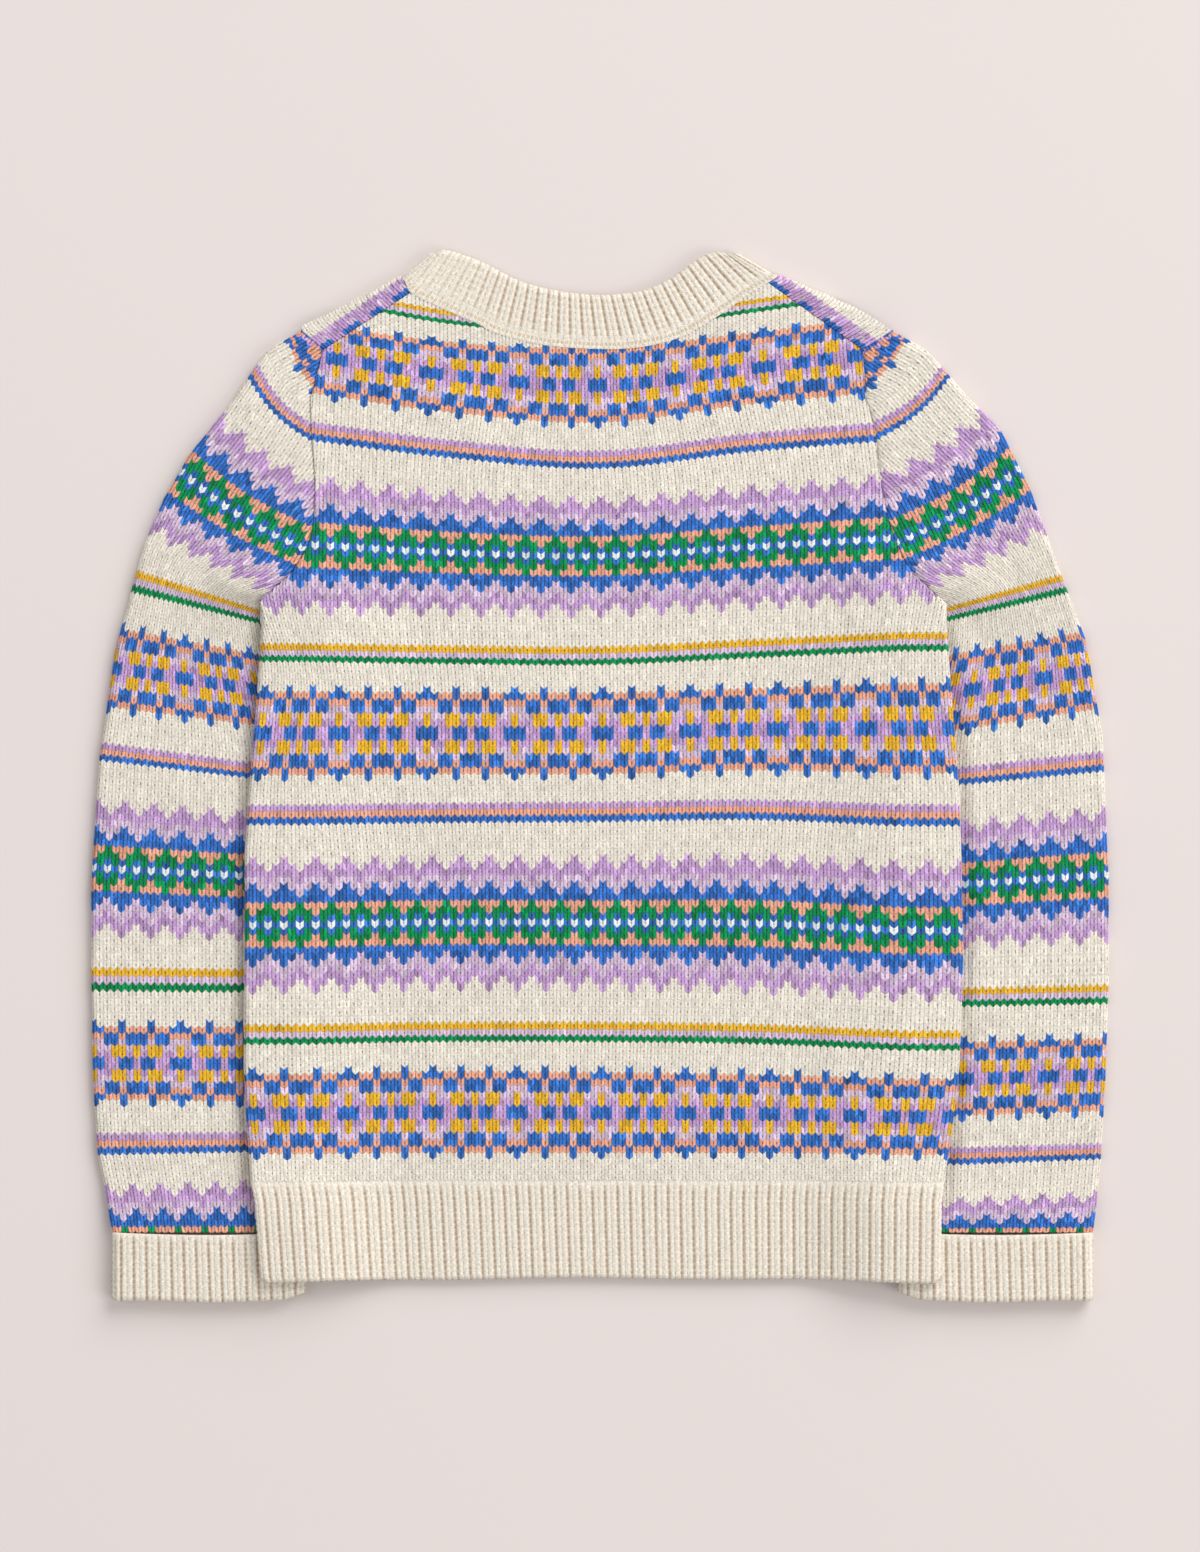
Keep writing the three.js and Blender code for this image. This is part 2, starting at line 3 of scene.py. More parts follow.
import bpy
import numpy as np
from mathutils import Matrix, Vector


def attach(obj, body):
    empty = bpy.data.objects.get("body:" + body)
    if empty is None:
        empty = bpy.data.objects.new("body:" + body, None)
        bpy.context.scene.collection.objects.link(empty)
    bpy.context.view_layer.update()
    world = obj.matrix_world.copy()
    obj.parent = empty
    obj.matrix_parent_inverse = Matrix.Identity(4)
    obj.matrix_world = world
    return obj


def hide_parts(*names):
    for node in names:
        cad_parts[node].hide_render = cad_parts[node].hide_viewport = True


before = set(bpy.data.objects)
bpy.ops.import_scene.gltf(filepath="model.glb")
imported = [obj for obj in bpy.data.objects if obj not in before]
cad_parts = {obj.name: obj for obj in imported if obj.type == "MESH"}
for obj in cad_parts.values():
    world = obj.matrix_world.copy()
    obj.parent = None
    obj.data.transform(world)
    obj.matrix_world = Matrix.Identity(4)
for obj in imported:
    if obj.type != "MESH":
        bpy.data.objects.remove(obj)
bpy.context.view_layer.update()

# Sizes are in millimetres, in the frame of the solids, and go to metres where a mesh is made.
MM = 0.001
rng = np.random.default_rng(7)

# Heights of the layers, as the solids have them
BODY_HEIGHT = 5.2
SLEEVE_HEIGHT = 4.9
LAY_GAP = 0.4
SEAM_GAP = 0.3
CUFF_HALF = 4.6
EDGE_RADIUS = BODY_HEIGHT / 2 - SEAM_GAP / 2
LIFT_SLEEVE = SLEEVE_HEIGHT + LAY_GAP
LIFT_CUFF = 2 * CUFF_HALF + LAY_GAP
# The body comes down from its lifted edges between these shares of its width, on a softer slope
# than the solids', and over these heights at the underarms and above the cuffs
RAMP_FROM = 0.06
RAMP_TO = 0.22
ARM_LIFT_ENDS = (90, 135)
CUFF_LIFT_ENDS = (-222, -180)

HEM_TOP = -202
HEM_BOTTOM = -253.5
UNDERARM = 88
CUFF_TOP = -228
CUFF_BOTTOM = -262.5

# Knit: one stitch is a column wide and a row high, and a V of two legs, each two strips wide. The
# slant is the drop of a leg in rows. Ridge, centre and valley are the heights of a leg's back, of
# the middle of the V and of the line between columns
STITCH_WIDE = 3.6
ROW_HIGH = 3.0
STITCH_STEPS = 4
LEG_STEPS = 2
LEG_SLANT = 0.52
LEG_RIDGE = 0.18
LEG_CENTRE = -0.36
LEG_VALLEY = -0.62
LEG_UNEVEN = 0.05
# A face with less area than this was pushed together at a seam and is left out
SMALLEST_FACE = 0.06

# Side edges of the body: height, left edge, right edge
BODY_SIDE = np.array([
    (-253.5, -167.5, 169), (-250, -169, 169.5), (-212, -172, 170), (-202, -174, 171.5),
    (-167, -176.5, 176.5), (-142, -177.5, 179), (-87, -177, 181), (-37, -177, 180),
    (-7, -175, 179), (38, -171, 175), (68, -169, 172.5), (88, -169, 170),
])

# Armhole seam: height, left, right
ARMHOLE = np.array([
    (88, -169, 170), (101, -154, 156), (113, -146, 149), (128, -142.5, 144), (148, -142, 140),
    (173, -144, 137.5), (188, -144.5, 133), (213, -138, 131), (222, -149, 146),
])

# Folds of the sleeves: height and place of the outer fold, height and place of the inner one
SLEEVE_FOLDS = {
    "left": np.array([
        (222, -149.3, 88, -169.3), (213, -166, 82, -167.5), (183, -187, 74, -165),
        (160.5, -205, 65, -163), (138, -218, 53, -160), (115, -228, 38, -156),
        (63, -242, 8, -149), (8, -250, -25, -147.5), (-52, -254, -65, -147),
        (-100, -254, -105, -147), (-150, -253.2, -150, -147), (-188, -251, -188, -147),
        (-209, -246.5, -209, -147), (-227.7, -243.5, -227.7, -147),
    ]),
    "right": np.array([
        (222, 146.3, 88, 170.3), (213, 163, 82, 169), (190, 183, 74, 167.5),
        (173, 200, 65, 166), (143, 215, 53, 163), (108, 227.5, 38, 159),
        (68, 242.5, 8, 152), (20, 251, -25, 150.5), (-52, 254, -65, 150),
        (-100, 254, -105, 149.5), (-150, 252.5, -150, 149), (-192, 250, -192, 148.5),
        (-212, 248, -212, 148.5), (-227.7, 246, -227.7, 148.5),
    ]),
}

# Where a row of the sleeve meets the outer fold and the inner fold or armhole: row, height, height
SLEEVE_ROWS = {
    "left": np.array([
        (7, 223, 213.6), (8, 222, 211), (14, 217.6, 189.5), (18, 206, 175.5),
        (21, 199, 166.5), (26, 182, 148.5),
        (36, 154, 113.5), (47, 120.5, 90), (51, 102.5, 82), (54, 92, 75), (58, 76.5, 62),
        (72, 31.5, 20), (76, 16.5, 3), (79, 8, -4), (84, -11.5, -20), (105, -80, -83),
        (109, -96, -97), (116, -122, -122.5), (130, -164.5, -165.5), (137, -189, -187),
        (142, -204, -201), (150, -227.7, -227.7),
    ]),
    "right": np.array([
        (7, 223, 213), (8, 222, 210), (14, 217.6, 189), (18, 204.5, 176.5),
        (21, 199.5, 167.5), (26, 184, 151.5),
        (36, 155.5, 117), (47, 120.5, 92), (51, 100.5, 83), (54, 91.5, 76), (58, 75, 62),
        (72, 30.5, 16), (76, 12, 1), (79, 2.5, -7), (84, -15, -25), (105, -83.5, -87),
        (109, -104.5, -107), (112, -113.5, -115.5), (116, -128, -131), (130, -170, -173.5),
        (134, -183.5, -186.5), (137, -191, -195), (142, -207, -212), (150, -227.7, -227.7),
    ]),
}

# Height of rows of the body: row, then x = -150, -75, 0, 75, 150. Read with a ruler over
# the photograph, to half a millimetre or one, and evened out to these places. Row -16, and
# row 46 in part, were not read this way.
BODY_ROWS = np.array([
    (-16, 268, 251, 243, 255, 269),
    (-6.5, 246, 231, 226, 236.5, 248),
    (-4.5, 241, 226.5, 222, 232, 243),
    (1, 227, 216.5, 214, 221, 231),
    (5, 217, 206, 201.5, 209, 219),
    (9, 204.5, 194, 188.5, 197.5, 206),
    (13, 192, 181.5, 176.5, 185.5, 192.5),
    (20.5, 170, 160.5, 155, 163.5, 169.5),
    (27, 147, 139.5, 136.5, 142, 148),
    (46, 84, 83.5, 83, 86.5, 89.5),
    (51.5, 64, 63, 62.5, 66, 69.5),
    (53.5, 58.5, 57.5, 57, 60.5, 64),
    (59, 42, 41.5, 41.5, 43.5, 46),
    (71, 0.5, 1, 1, 3, 1.5),
    (76.5, -16, -15, -14.5, -13.5, -16),
    (78.5, -22.5, -21.5, -21, -20, -23),
    (85, -44, -43, -43, -42, -45.5),
    (104, -104.5, -103, -103.5, -105, -108.5),
    (109.5, -126, -125, -125, -126, -129),
    (111.5, -132, -131, -131, -132, -135),
    (117, -148.5, -147.5, -148, -149, -151),
    (129, -188, -188, -188, -188, -188.5),
    (134, -201.9, -201.9, -201.9, -201.9, -201.9),
])
ROW_FIRST_PLACE = -150
ROW_PLACE_STEP = 75

# Columns of the body: row, width of a stitch, place of the middle column. Read the same way, but
# the place at rows 84 and 105 lies between that reading and another one.
BODY_COLUMN_PLACES = np.array([
    (5, 3.6, -1.4), (13, 3.65, -1), (26, 3.75, 0.5), (47, 3.75, 0.5), (58, 3.65, 1.2),
    (72, 3.65, 1.2), (84, 3.55, 1.4), (105, 3.55, 1.4), (116, 3.5, 0.6), (134, 3.5, 0.6),
])
# The neck draws the middle columns together, by this share at the middle, less and less between
# these rows and toward this column on either side
NECK_DRAW = 0.12
NECK_DRAW_ROWS = (7, 26)
NECK_DRAW_COLUMNS = 30

# Neck seam and free edge of the neckband: points of a smooth curve from left to right
NECK_SEAM_BACK = [
    (-96.5, 247.5), (-93, 242), (-80, 235.5), (-62.5, 228), (-50, 222), (-27.5, 216.5), (0, 214.5),
    (20, 215.5), (40, 220.5), (57.5, 230.5), (72.5, 241), (82, 246.5), (85.5, 248.5),
]
NECK_FREE_BACK = [
    (-82, 260), (-77, 262.5), (-60, 257), (-40, 247), (-20, 242), (0, 240), (20, 242), (35, 248),
    (47.5, 257), (57.5, 261.5), (66, 260),
]
NECK_SEAM_FRONT = [
    (-96.5, 247.5), (-93, 228), (-80, 205), (-58, 186), (-30, 176), (-5, 173.5), (20, 176),
    (48, 186), (70, 205), (82.5, 228), (85.5, 248.5),
]
NECK_FREE_FRONT = [
    (-82, 260), (-72, 236), (-58, 218), (-34, 204), (-6, 199), (22, 204), (44, 218),
    (58, 236), (66, 260),
]

# Shoulders: fold of the front panel from the arm to the neck, and the seam on the back
SHOULDER_FOLDS = {
    "left": [(-148.8, 222.1), (-124.5, 234.2), (-99, 247.8)],
    "right": [(145.7, 222.1), (117, 236.2), (88.5, 248.4)],
}
SHOULDER_SEAMS = {
    "left": [(-137.8, 212.8), (-93.4, 242)],
    "right": [(130.8, 212.8), (83, 246.8)],
}

# Yarns in display colours: cream, deep and light lilac, blue, green, yellow, orange and white
YARNS = {
    "C": (243, 237, 225),
    "D": (206, 170, 224),
    "L": (222, 200, 228),
    "B": (58, 120, 212),
    "G": (4, 148, 86),
    "Y": (242, 190, 52),
    "O": (242, 176, 150),
    "W": (232, 242, 244),
}
# How unevenly a yarn took its dye, and how unevenly the yarns not named here did
DYE_SPREAD = {"B": 0.22, "G": 0.18, "D": 0.14, "L": 0.12, "C": 0.05}
USUAL_SPREAD = 0.1

# Charts, a row of stitches to a line, read down the jumper
BAND_A = [
    "DCCC", "DDCD", "DDDD", "LLDL", "BLLL", "BBLB", "BBBB", "OOGO", "OGGG", "BGBG", "WBWB",
    "BGBG", "OGGG", "OOGO", "BBBB", "BBLB", "BLLL", "LLDL", "LDDD", "DDCD", "DCCC",
]
CHECK_HALF = [
    "BCCCBCCCBCCC", "BBOOBOOOBOOB", "OOBBOBBBOBBO", "LLBBLBBBLBBL",
    "YLLYYLYLYYLL", "YDDYYDYDYYDD", "BBDDBBDBBDDB",
]
CHECK = CHECK_HALF + CHECK_HALF[::-1]
PERIOD = (
    CHECK + ["C"] * 4 + ["D", "O", "B"] + ["C"] * 5
    + BAND_A + ["C"] * 4 + ["Y", "L", "G"] + ["C"] * 4
)
# The front panel's rows behind the shoulder seam, from the seam to the fold
STRIP_ROWS = ["BBDDBBBDDBBDDBBBD", "DLDDDDLDDDDLDDDLD", "DDLDDDDDLDDDDLDDD", "C", "C", "C"]


# Steps between two given points of a curve, points along a whole one, and along a neck seam
CURVE_STEPS = 24
CURVE_POINTS = 400
SEAM_POINTS = 120


def smooth(low, high, value):
    """From 0 at low to 1 at high, level at both ends."""
    t = np.clip((value - low) / (high - low), 0, 1)
    return t * t * (3 - 2 * t)


def mix(a, b, t):
    """From a to b as t goes from 0 to 1."""
    return a + (b - a) * t


def column_of(table, y, column):
    """Value in a column of a table at the height y, which its first column gives."""
    rising = table if table[0, 0] < table[-1, 0] else table[::-1]
    return np.interp(y, rising[:, 0], rising[:, column])


def body_edge(side, y):
    """Place of the body's left or right edge: the side seam, and the armhole above the underarm."""
    column = 1 if side == "left" else 2
    return np.where(y <= UNDERARM, column_of(BODY_SIDE, y, column), column_of(ARMHOLE, y, column))


def body_lift(x, y):
    """How far the body lies off the floor at x, y, over the tucked edges of sleeves and cuffs."""
    left, right = body_edge("left", y), body_edge("right", y)
    t = (x - left) / (right - left)
    beside = 1 - smooth(RAMP_FROM, RAMP_TO, np.minimum(t, 1 - t))
    over_sleeve = LIFT_SLEEVE * (1 - smooth(*ARM_LIFT_ENDS, y))
    over_cuff = (LIFT_CUFF - LIFT_SLEEVE) * (1 - smooth(*CUFF_LIFT_ENDS, y))
    return beside * (over_sleeve + over_cuff)


def through(a, b, c, d, t):
    """Place at t on the smooth curve from b to c, led by the points before and after."""
    return 0.5 * (2 * b + (c - a) * t + (2 * a - 5 * b + 4 * c - d) * t * t
                  + (3 * b - a - 3 * c + d) * t ** 3)


def curve_points(points, count):
    """Even points along a smooth curve through the given ones."""
    p = np.array(points, float)
    before = 2 * p[0] - p[1]
    after = 2 * p[-1] - p[-2]
    q = np.vstack([before, p, after])
    fine = []
    for k in range(1, len(q) - 2):
        for t in np.linspace(0, 1, CURVE_STEPS, endpoint=False):
            fine.append(through(q[k - 1], q[k], q[k + 1], q[k + 2], t))
    fine.append(p[-1])
    fine = np.array(fine)
    run = np.concatenate([[0], np.cumsum(np.linalg.norm(np.diff(fine, axis=0), axis=1))])
    at = np.linspace(0, run[-1], count)
    return np.stack([np.interp(at, run, fine[:, 0]), np.interp(at, run, fine[:, 1])], 1)


def along(points, t):
    """Place on a smooth curve at t from 0 to 1."""
    fine = curve_points(points, CURVE_POINTS)
    at = np.linspace(0, 1, CURVE_POINTS)
    return np.interp(t, at, fine[:, 0]), np.interp(t, at, fine[:, 1])


# Soft creases, each a ridge or trough along a line: from x, y to x, y, height and half width
BODY_CREASES = [
    (-150, 96, -96, 62, 0.9, 9),
    (-158, 84, -128, 30, -0.8, 8),
    (152, 98, 98, 58, 0.9, 9),
    (160, 86, 130, 34, -0.8, 8),
    (-110, 205, -60, 168, 0.6, 11),
    (104, 208, 62, 176, 0.6, 11),
    (-60, -160, 20, -175, 0.5, 12),
    (-130, -120, -118, -190, 0.6, 9),
    (112, -110, 126, -188, 0.6, 9),
    (-20, 40, 60, 22, 0.4, 16),
    (-90, -20, -30, -44, 0.4, 14),
    (60, -70, 118, -52, 0.4, 13),
]
SLEEVE_CREASES = [
    (-180, 104, -226, 70, 0.8, 8),
    (-176, 86, -214, 40, -0.8, 7),
    (-236, 6, -190, -16, 0.6, 9),
    (-244, -60, -196, -72, 0.5, 10),
    (-200, -120, -246, -140, 0.5, 10),
    (-188, 196, -160, 168, 0.6, 8),
]


# The half width of a crease, counted in spreads of its rounded section
CREASE_SPREADS = 1.6


def creases(table, x, y, mirror=False):
    """Height of all the creases of a table at x, y."""
    total = np.zeros_like(x)
    for x0, y0, x1, y1, height, half in table:
        if mirror:
            x0, x1 = -x0, -x1
        dx, dy = x1 - x0, y1 - y0
        length = math.hypot(dx, dy)
        s = ((x - x0) * dx + (y - y0) * dy) / length
        off = ((x - x0) * dy - (y - y0) * dx) / length
        beyond = np.maximum(0, np.maximum(-s, s - length))
        total += height * np.exp(-(off ** 2 + beyond ** 2) / (2 * (half / CREASE_SPREADS) ** 2))
    return total


def linear(rgb):
    """Display colour from 0 to 255 as linear light from 0 to 1."""
    c = np.array(rgb, float) / 255
    return np.where(c <= 0.04045, c / 12.92, ((c + 0.055) / 1.055) ** 2.4)


YARN_KEYS = list(YARNS)
YARN_LINEAR = np.array([linear(YARNS[k]) for k in YARN_KEYS])
YARN_SPREAD = np.array([DYE_SPREAD.get(k, USUAL_SPREAD) for k in YARN_KEYS])


def chart_codes(rows_text, rows, columns):
    """Yarn number for each stitch, the chart repeated over both ways."""
    rows, columns = np.broadcast_arrays(rows, columns)
    codes = np.zeros(rows.shape, int)
    for r, text in enumerate(rows_text):
        line = np.array([YARN_KEYS.index(c) for c in text])
        here = rows % len(rows_text) == r
        codes[here] = line[columns[here] % len(text)]
    return codes


def mesh_object(name, points, faces, colours, uv, sheet_uv):
    """Mesh from arrays: points, quads, a colour for each quad and two maps for its corners.
    No point goes below the floor."""
    mesh = bpy.data.meshes.new(name)
    used = np.unique(faces)
    renumber = np.zeros(len(points), int)
    renumber[used] = np.arange(len(used))
    corners = renumber[faces].ravel()
    mesh.vertices.add(len(used))
    points = np.stack([points[:, 0], points[:, 1], np.maximum(points[:, 2], 0)], -1)
    mesh.vertices.foreach_set("co", (points[used] * MM).astype(np.float32).ravel())
    mesh.loops.add(len(corners))
    mesh.loops.foreach_set("vertex_index", corners.astype(np.int32))
    mesh.polygons.add(len(faces))
    mesh.polygons.foreach_set("loop_start", np.arange(0, len(corners), 4, dtype=np.int32))
    mesh.update(calc_edges=True)
    for layer_name, places in (("knit", uv), ("OFBake", sheet_uv)):
        layer = mesh.uv_layers.new(name=layer_name)
        layer.uv.foreach_set("vector", places.astype(np.float32).ravel())
    # The colour attribute holds the yarn colour, and on the ribs also the painted shade of their
    # grooves and under the neck chain
    shade = mesh.color_attributes.new(name="yarn_and_shade", type="FLOAT_COLOR", domain="CORNER")
    rgba = np.ones((len(corners), 4), np.float32)
    rgba[:, :3] = np.repeat(colours, 4, axis=0)
    shade.data.foreach_set("color", rgba.ravel())
    mesh.polygons.foreach_set("use_smooth", np.ones(len(faces), bool))
    piece = bpy.data.objects.new(name, mesh)
    bpy.context.scene.collection.objects.link(piece)
    return piece


def grid_faces(u_count, v_count, flip):
    """Quads between the points of a grid, turned over by flip."""
    i, j = np.meshgrid(np.arange(v_count - 1), np.arange(u_count - 1), indexing="ij")
    a = i * u_count + j
    quad = np.stack([a, a + u_count, a + u_count + 1, a + 1], -1)
    if flip:
        quad = quad[..., ::-1]
    return quad.reshape(-1, 4)


def knit_part(place, columns, rows, first, chart, flip=False, shift=0):
    """Stitches over a surface. place(u, w) gives points and outward normals for column u, row w."""
    u = np.arange(STITCH_STEPS * columns + 1) / STITCH_STEPS
    v = np.arange(rows + 1)
    U, V = np.meshgrid(u, v)
    phase = U % 1
    slant = (np.abs(phase - 0.5) * 2 - 0.5) * LEG_SLANT
    W = np.clip(V - slant, 0, rows) + first
    points, normals = place(U, W)
    height = np.interp(phase, [0, 0.25, 0.5, 0.75, 1],
                       [LEG_VALLEY, LEG_RIDGE, LEG_CENTRE, LEG_RIDGE, LEG_VALLEY])
    tug = rng.normal(0, LEG_UNEVEN, height.shape)
    points = points + normals * (height + tug)[..., None]
    faces = grid_faces(len(u), len(v), flip)
    flat = points.reshape(-1, 3)
    a, b, c, d = (flat[faces[:, k]] for k in range(4))
    area = np.linalg.norm(np.cross(c - a, d - b), axis=1) / 2
    row = np.repeat(np.arange(rows), len(u) - 1)
    column = np.tile(np.arange(len(u) - 1) // STITCH_STEPS, rows)
    codes = chart_codes(chart, row + int(first), column + shift)
    base = YARN_LINEAR[codes]
    leg = np.tile(np.arange(len(u) - 1) // LEG_STEPS, rows)
    one = rng.normal(0, 1, (rows, 2 * columns))
    spread = YARN_SPREAD[codes] * one[row, leg]
    colours = np.clip(base * np.exp(spread)[:, None], 0, 1)
    grid_uv = np.stack([U, V], -1).reshape(-1, 2)
    uv = grid_uv[faces]
    sheet_uv = uv / np.array([columns, rows])
    keep = area > SMALLEST_FACE
    uv, sheet_uv = uv[keep].reshape(-1, 2), sheet_uv[keep].reshape(-1, 2)
    return flat, faces[keep], colours[keep], uv, sheet_uv


def joined(name, parts):
    """One piece from several grids, each with its own share of the sheet map."""
    points, faces, colours, uv, sheet_uv = [], [], [], [], []
    total = 0
    margin = 0.01
    for k, (p, f, c, w, s) in enumerate(parts):
        points.append(p)
        faces.append(f + total)
        colours.append(c)
        uv.append(w)
        share = s.copy()
        share = share * (1 - 2 * margin) + margin
        share[:, 0] = (share[:, 0] + k) / len(parts)
        sheet_uv.append(share)
        total += len(p)
    return mesh_object(name, np.vstack(points), np.vstack(faces), np.vstack(colours),
                       np.vstack(uv), np.vstack(sheet_uv))


# Body

BODY_COLUMNS = 98
BODY_FIRST = -16
BODY_LAST = 134
MIDDLE_COLUMN = 49.5
CHART_SHIFT = 11
# The curl of the side edges ends between these heights, and rows above the level take the place of
# the edges from it
CURL_ENDS = (78, 90)
CURL_LEVEL = 66
# The columns next to the side seams take up what is left, from these rows down
EASE_ROWS = (40, 58)
EASE_COLUMNS = 14
# Along a seam the cloth dips by so much over such a width, on the front by a share of it
SEAM_DIP = 0.35
SEAM_DIP_WIDE = 2.4
FRONT_DIP = 0.6
# Creases grow to their full height over this distance from a seam, and cloth with no seam beside
# it counts as this far from one
CREASE_CLEAR = 12
FAR_FROM_SEAM = 9


def row_height(x, w):
    """Height of the row w of the body at x, on a smooth curve through the five places."""
    places = [np.interp(w, BODY_ROWS[:, 0], BODY_ROWS[:, k]) for k in range(1, 6)]
    places = np.stack([2 * places[0] - places[1]] + places + [2 * places[4] - places[3]], -1)
    at = np.clip((x - ROW_FIRST_PLACE) / ROW_PLACE_STEP, 0, 3.999)
    cell = at.astype(int)
    t = at - cell
    a, b, c, d = (np.take_along_axis(places, (cell + k)[..., None], -1)[..., 0] for k in range(4))
    return through(a, b, c, d, t)


def back_top(x):
    """Top edge of the back panel at x: the two shoulder seams and the neck seam."""
    neck = curve_points(NECK_SEAM_BACK, SEAM_POINTS)
    left, right = SHOULDER_SEAMS["left"], SHOULDER_SEAMS["right"]
    inner = neck[(neck[:, 0] > left[1][0]) & (neck[:, 0] < right[1][0])]
    line = np.vstack([left[0], left[1], inner, right[1], right[0]])
    return np.interp(x, line[:, 0], line[:, 1])


def front_top(x):
    """Top edge of the front panel at x: the shoulder folds and the deeper neck seam."""
    neck = curve_points(NECK_SEAM_FRONT, SEAM_POINTS)
    left, right = SHOULDER_FOLDS["left"], SHOULDER_FOLDS["right"]
    clear_left, clear_right = 1.5, 2
    inner = neck[(neck[:, 0] > left[2][0] + clear_left) & (neck[:, 0] < right[2][0] - clear_right)]
    line = np.vstack([left, inner, right[::-1]])
    return np.interp(x, line[:, 0], line[:, 1])


def body_place(front):
    """Gives the place of a column and row on the back panel, or on the front one under it."""
    top_of = front_top if front else back_top

    def place(U, W):
        # Arc length across the body, from seam to seam over the curled edges
        middle = np.interp(W, BODY_ROWS[:, 0], BODY_ROWS[:, 3])
        level = np.minimum(middle, CURL_LEVEL)
        left, right = body_edge("left", level), body_edge("right", level)
        curl = EDGE_RADIUS * math.pi / 2
        round_at = 1 - smooth(*CURL_ENDS, middle)
        extra = (curl - EDGE_RADIUS) * round_at
        total = right - left + 2 * extra
        places = BODY_COLUMN_PLACES
        pitch = np.interp(W, places[:, 0], places[:, 1])
        centre = np.interp(W, places[:, 0], places[:, 2]) - left + extra
        column = U - MIDDLE_COLUMN
        drawn = NECK_DRAW * (1 - smooth(*NECK_DRAW_ROWS, W))
        drawn = drawn * (1 - np.minimum(1, (column / NECK_DRAW_COLUMNS) ** 2))
        run = centre + column * pitch * (1 - drawn)
        short_left = (centre - MIDDLE_COLUMN * pitch) * (1 - smooth(0, EASE_COLUMNS, U))
        over_right = centre + (BODY_COLUMNS - MIDDLE_COLUMN) * pitch - total
        over_right = over_right * smooth(BODY_COLUMNS - EASE_COLUMNS, BODY_COLUMNS, U)
        run = np.clip(run - smooth(*EASE_ROWS, W) * (short_left + over_right), 0, total)
        from_edge = np.minimum(run, total - run)
        side = np.where(run * 2 > total, -1, 1)
        angle = np.clip(from_edge / EDGE_RADIUS, 0, math.pi / 2)
        curled = (round_at > 0.5) & (from_edge < curl)
        inward = np.where(curled, EDGE_RADIUS * (1 - np.cos(angle)), from_edge - extra)
        drop = np.where(curled, EDGE_RADIUS * (1 - np.sin(angle)), 0)
        x = np.where(side > 0, left + inward, right - inward)
        y = row_height(x, W)
        # Clipped to the armhole and to the top edge
        arm_left, arm_right = body_edge("left", y), body_edge("right", y)
        above = y > UNDERARM
        x = np.where(above, np.clip(x, arm_left, arm_right), x)
        top = top_of(x)
        y = np.minimum(y, top)
        near_arm = np.where(above, np.minimum(x - arm_left, arm_right - x), FAR_FROM_SEAM)
        near = np.minimum(near_arm, top - y)
        dip = SEAM_DIP * (1 - smooth(0, SEAM_DIP_WIDE, near))
        lift = body_lift(x, y)
        soft = creases(BODY_CREASES, x, y) * np.clip(near / CREASE_CLEAR, 0, 1)
        if front:
            z = lift + drop + dip * FRONT_DIP
        else:
            z = lift + BODY_HEIGHT - drop - dip + soft
        up = -1 if front else 1
        nx = np.where(curled, -side * np.cos(angle), 0)
        nz = np.where(curled, up * np.sin(angle), up)
        normal = np.stack([nx, np.zeros_like(nx), nz], -1)
        return np.stack([x, y, z], -1), normal

    return place


def shoulder_strip(side):
    """The part of the front panel that turns over the shoulder, down to the seam on the back."""
    columns = len(STRIP_ROWS[0])
    rows = len(STRIP_ROWS)
    radius = BODY_HEIGHT / 2
    under_neckband = 1.05
    row_high = ROW_HIGH * 0.98
    end_length = 60
    out_x, out_y = (-0.35, 0.94) if side == "left" else (0.35, 0.94)
    seam = SHOULDER_SEAMS[side]
    fold = SHOULDER_FOLDS[side]

    def place(U, W):
        # The neck end runs on a little way under the neckband
        t = U / columns * under_neckband
        sx, sy = mix(seam[0][0], seam[1][0], t), mix(seam[0][1], seam[1][1], t)
        fx, fy = along(fold, t)
        dx, dy = fx - sx, fy - sy
        flat = np.hypot(dx, dy) + 1e-6
        run = np.minimum(W * row_high, flat + math.pi * radius)
        on_top = np.minimum(run, flat)
        angle = np.clip((run - flat) / radius, 0, math.pi)
        x = sx + dx / flat * on_top + out_x * radius * np.sin(angle)
        y = sy + dy / flat * on_top + out_y * radius * np.sin(angle)
        # It dips to the seam, to the arm's end and under the neckband
        dip = 0.5 * (1 - smooth(0, 2.2, np.minimum(run, t * end_length)))
        dip = np.maximum(dip, 0.7 * smooth(0.985, 1.02, t))
        z = radius + radius * np.cos(angle) - dip * (np.cos(angle) > 0)
        normal = np.stack([out_x * np.sin(angle), out_y * np.sin(angle), np.cos(angle)], -1)
        return np.stack([x, y, z], -1), normal

    return knit_part(place, columns, rows, 0, STRIP_ROWS, flip=side == "left")


def back_panel():
    rows = BODY_LAST - BODY_FIRST
    part = knit_part(body_place(False), BODY_COLUMNS, rows, BODY_FIRST, PERIOD, shift=CHART_SHIFT)
    return joined("jumper_back", [part])


def front_panel():
    rows = BODY_LAST - BODY_FIRST
    main = knit_part(body_place(True), BODY_COLUMNS, rows, BODY_FIRST, PERIOD, flip=True,
                     shift=CHART_SHIFT)
    return joined("jumper_front", [main, shoulder_strip("left"), shoulder_strip("right")])


# Sleeves

SLEEVE_COLUMNS = 30
SLEEVE_FIRST = 7
SLEEVE_LAST = 150
# Down to the first of these rows the stitches keep their width, from the second they fill the tube
PITCH_ROWS = (40, 54)
# The rows of the head sag by so much in the middle, from and up to these rows, and lean by a share
HEAD_SAG = 3.4
HEAD_SAG_BEGINS = (8, 18)
HEAD_SAG_ENDS = (34, 50)
SAG_LEAN = 0.75
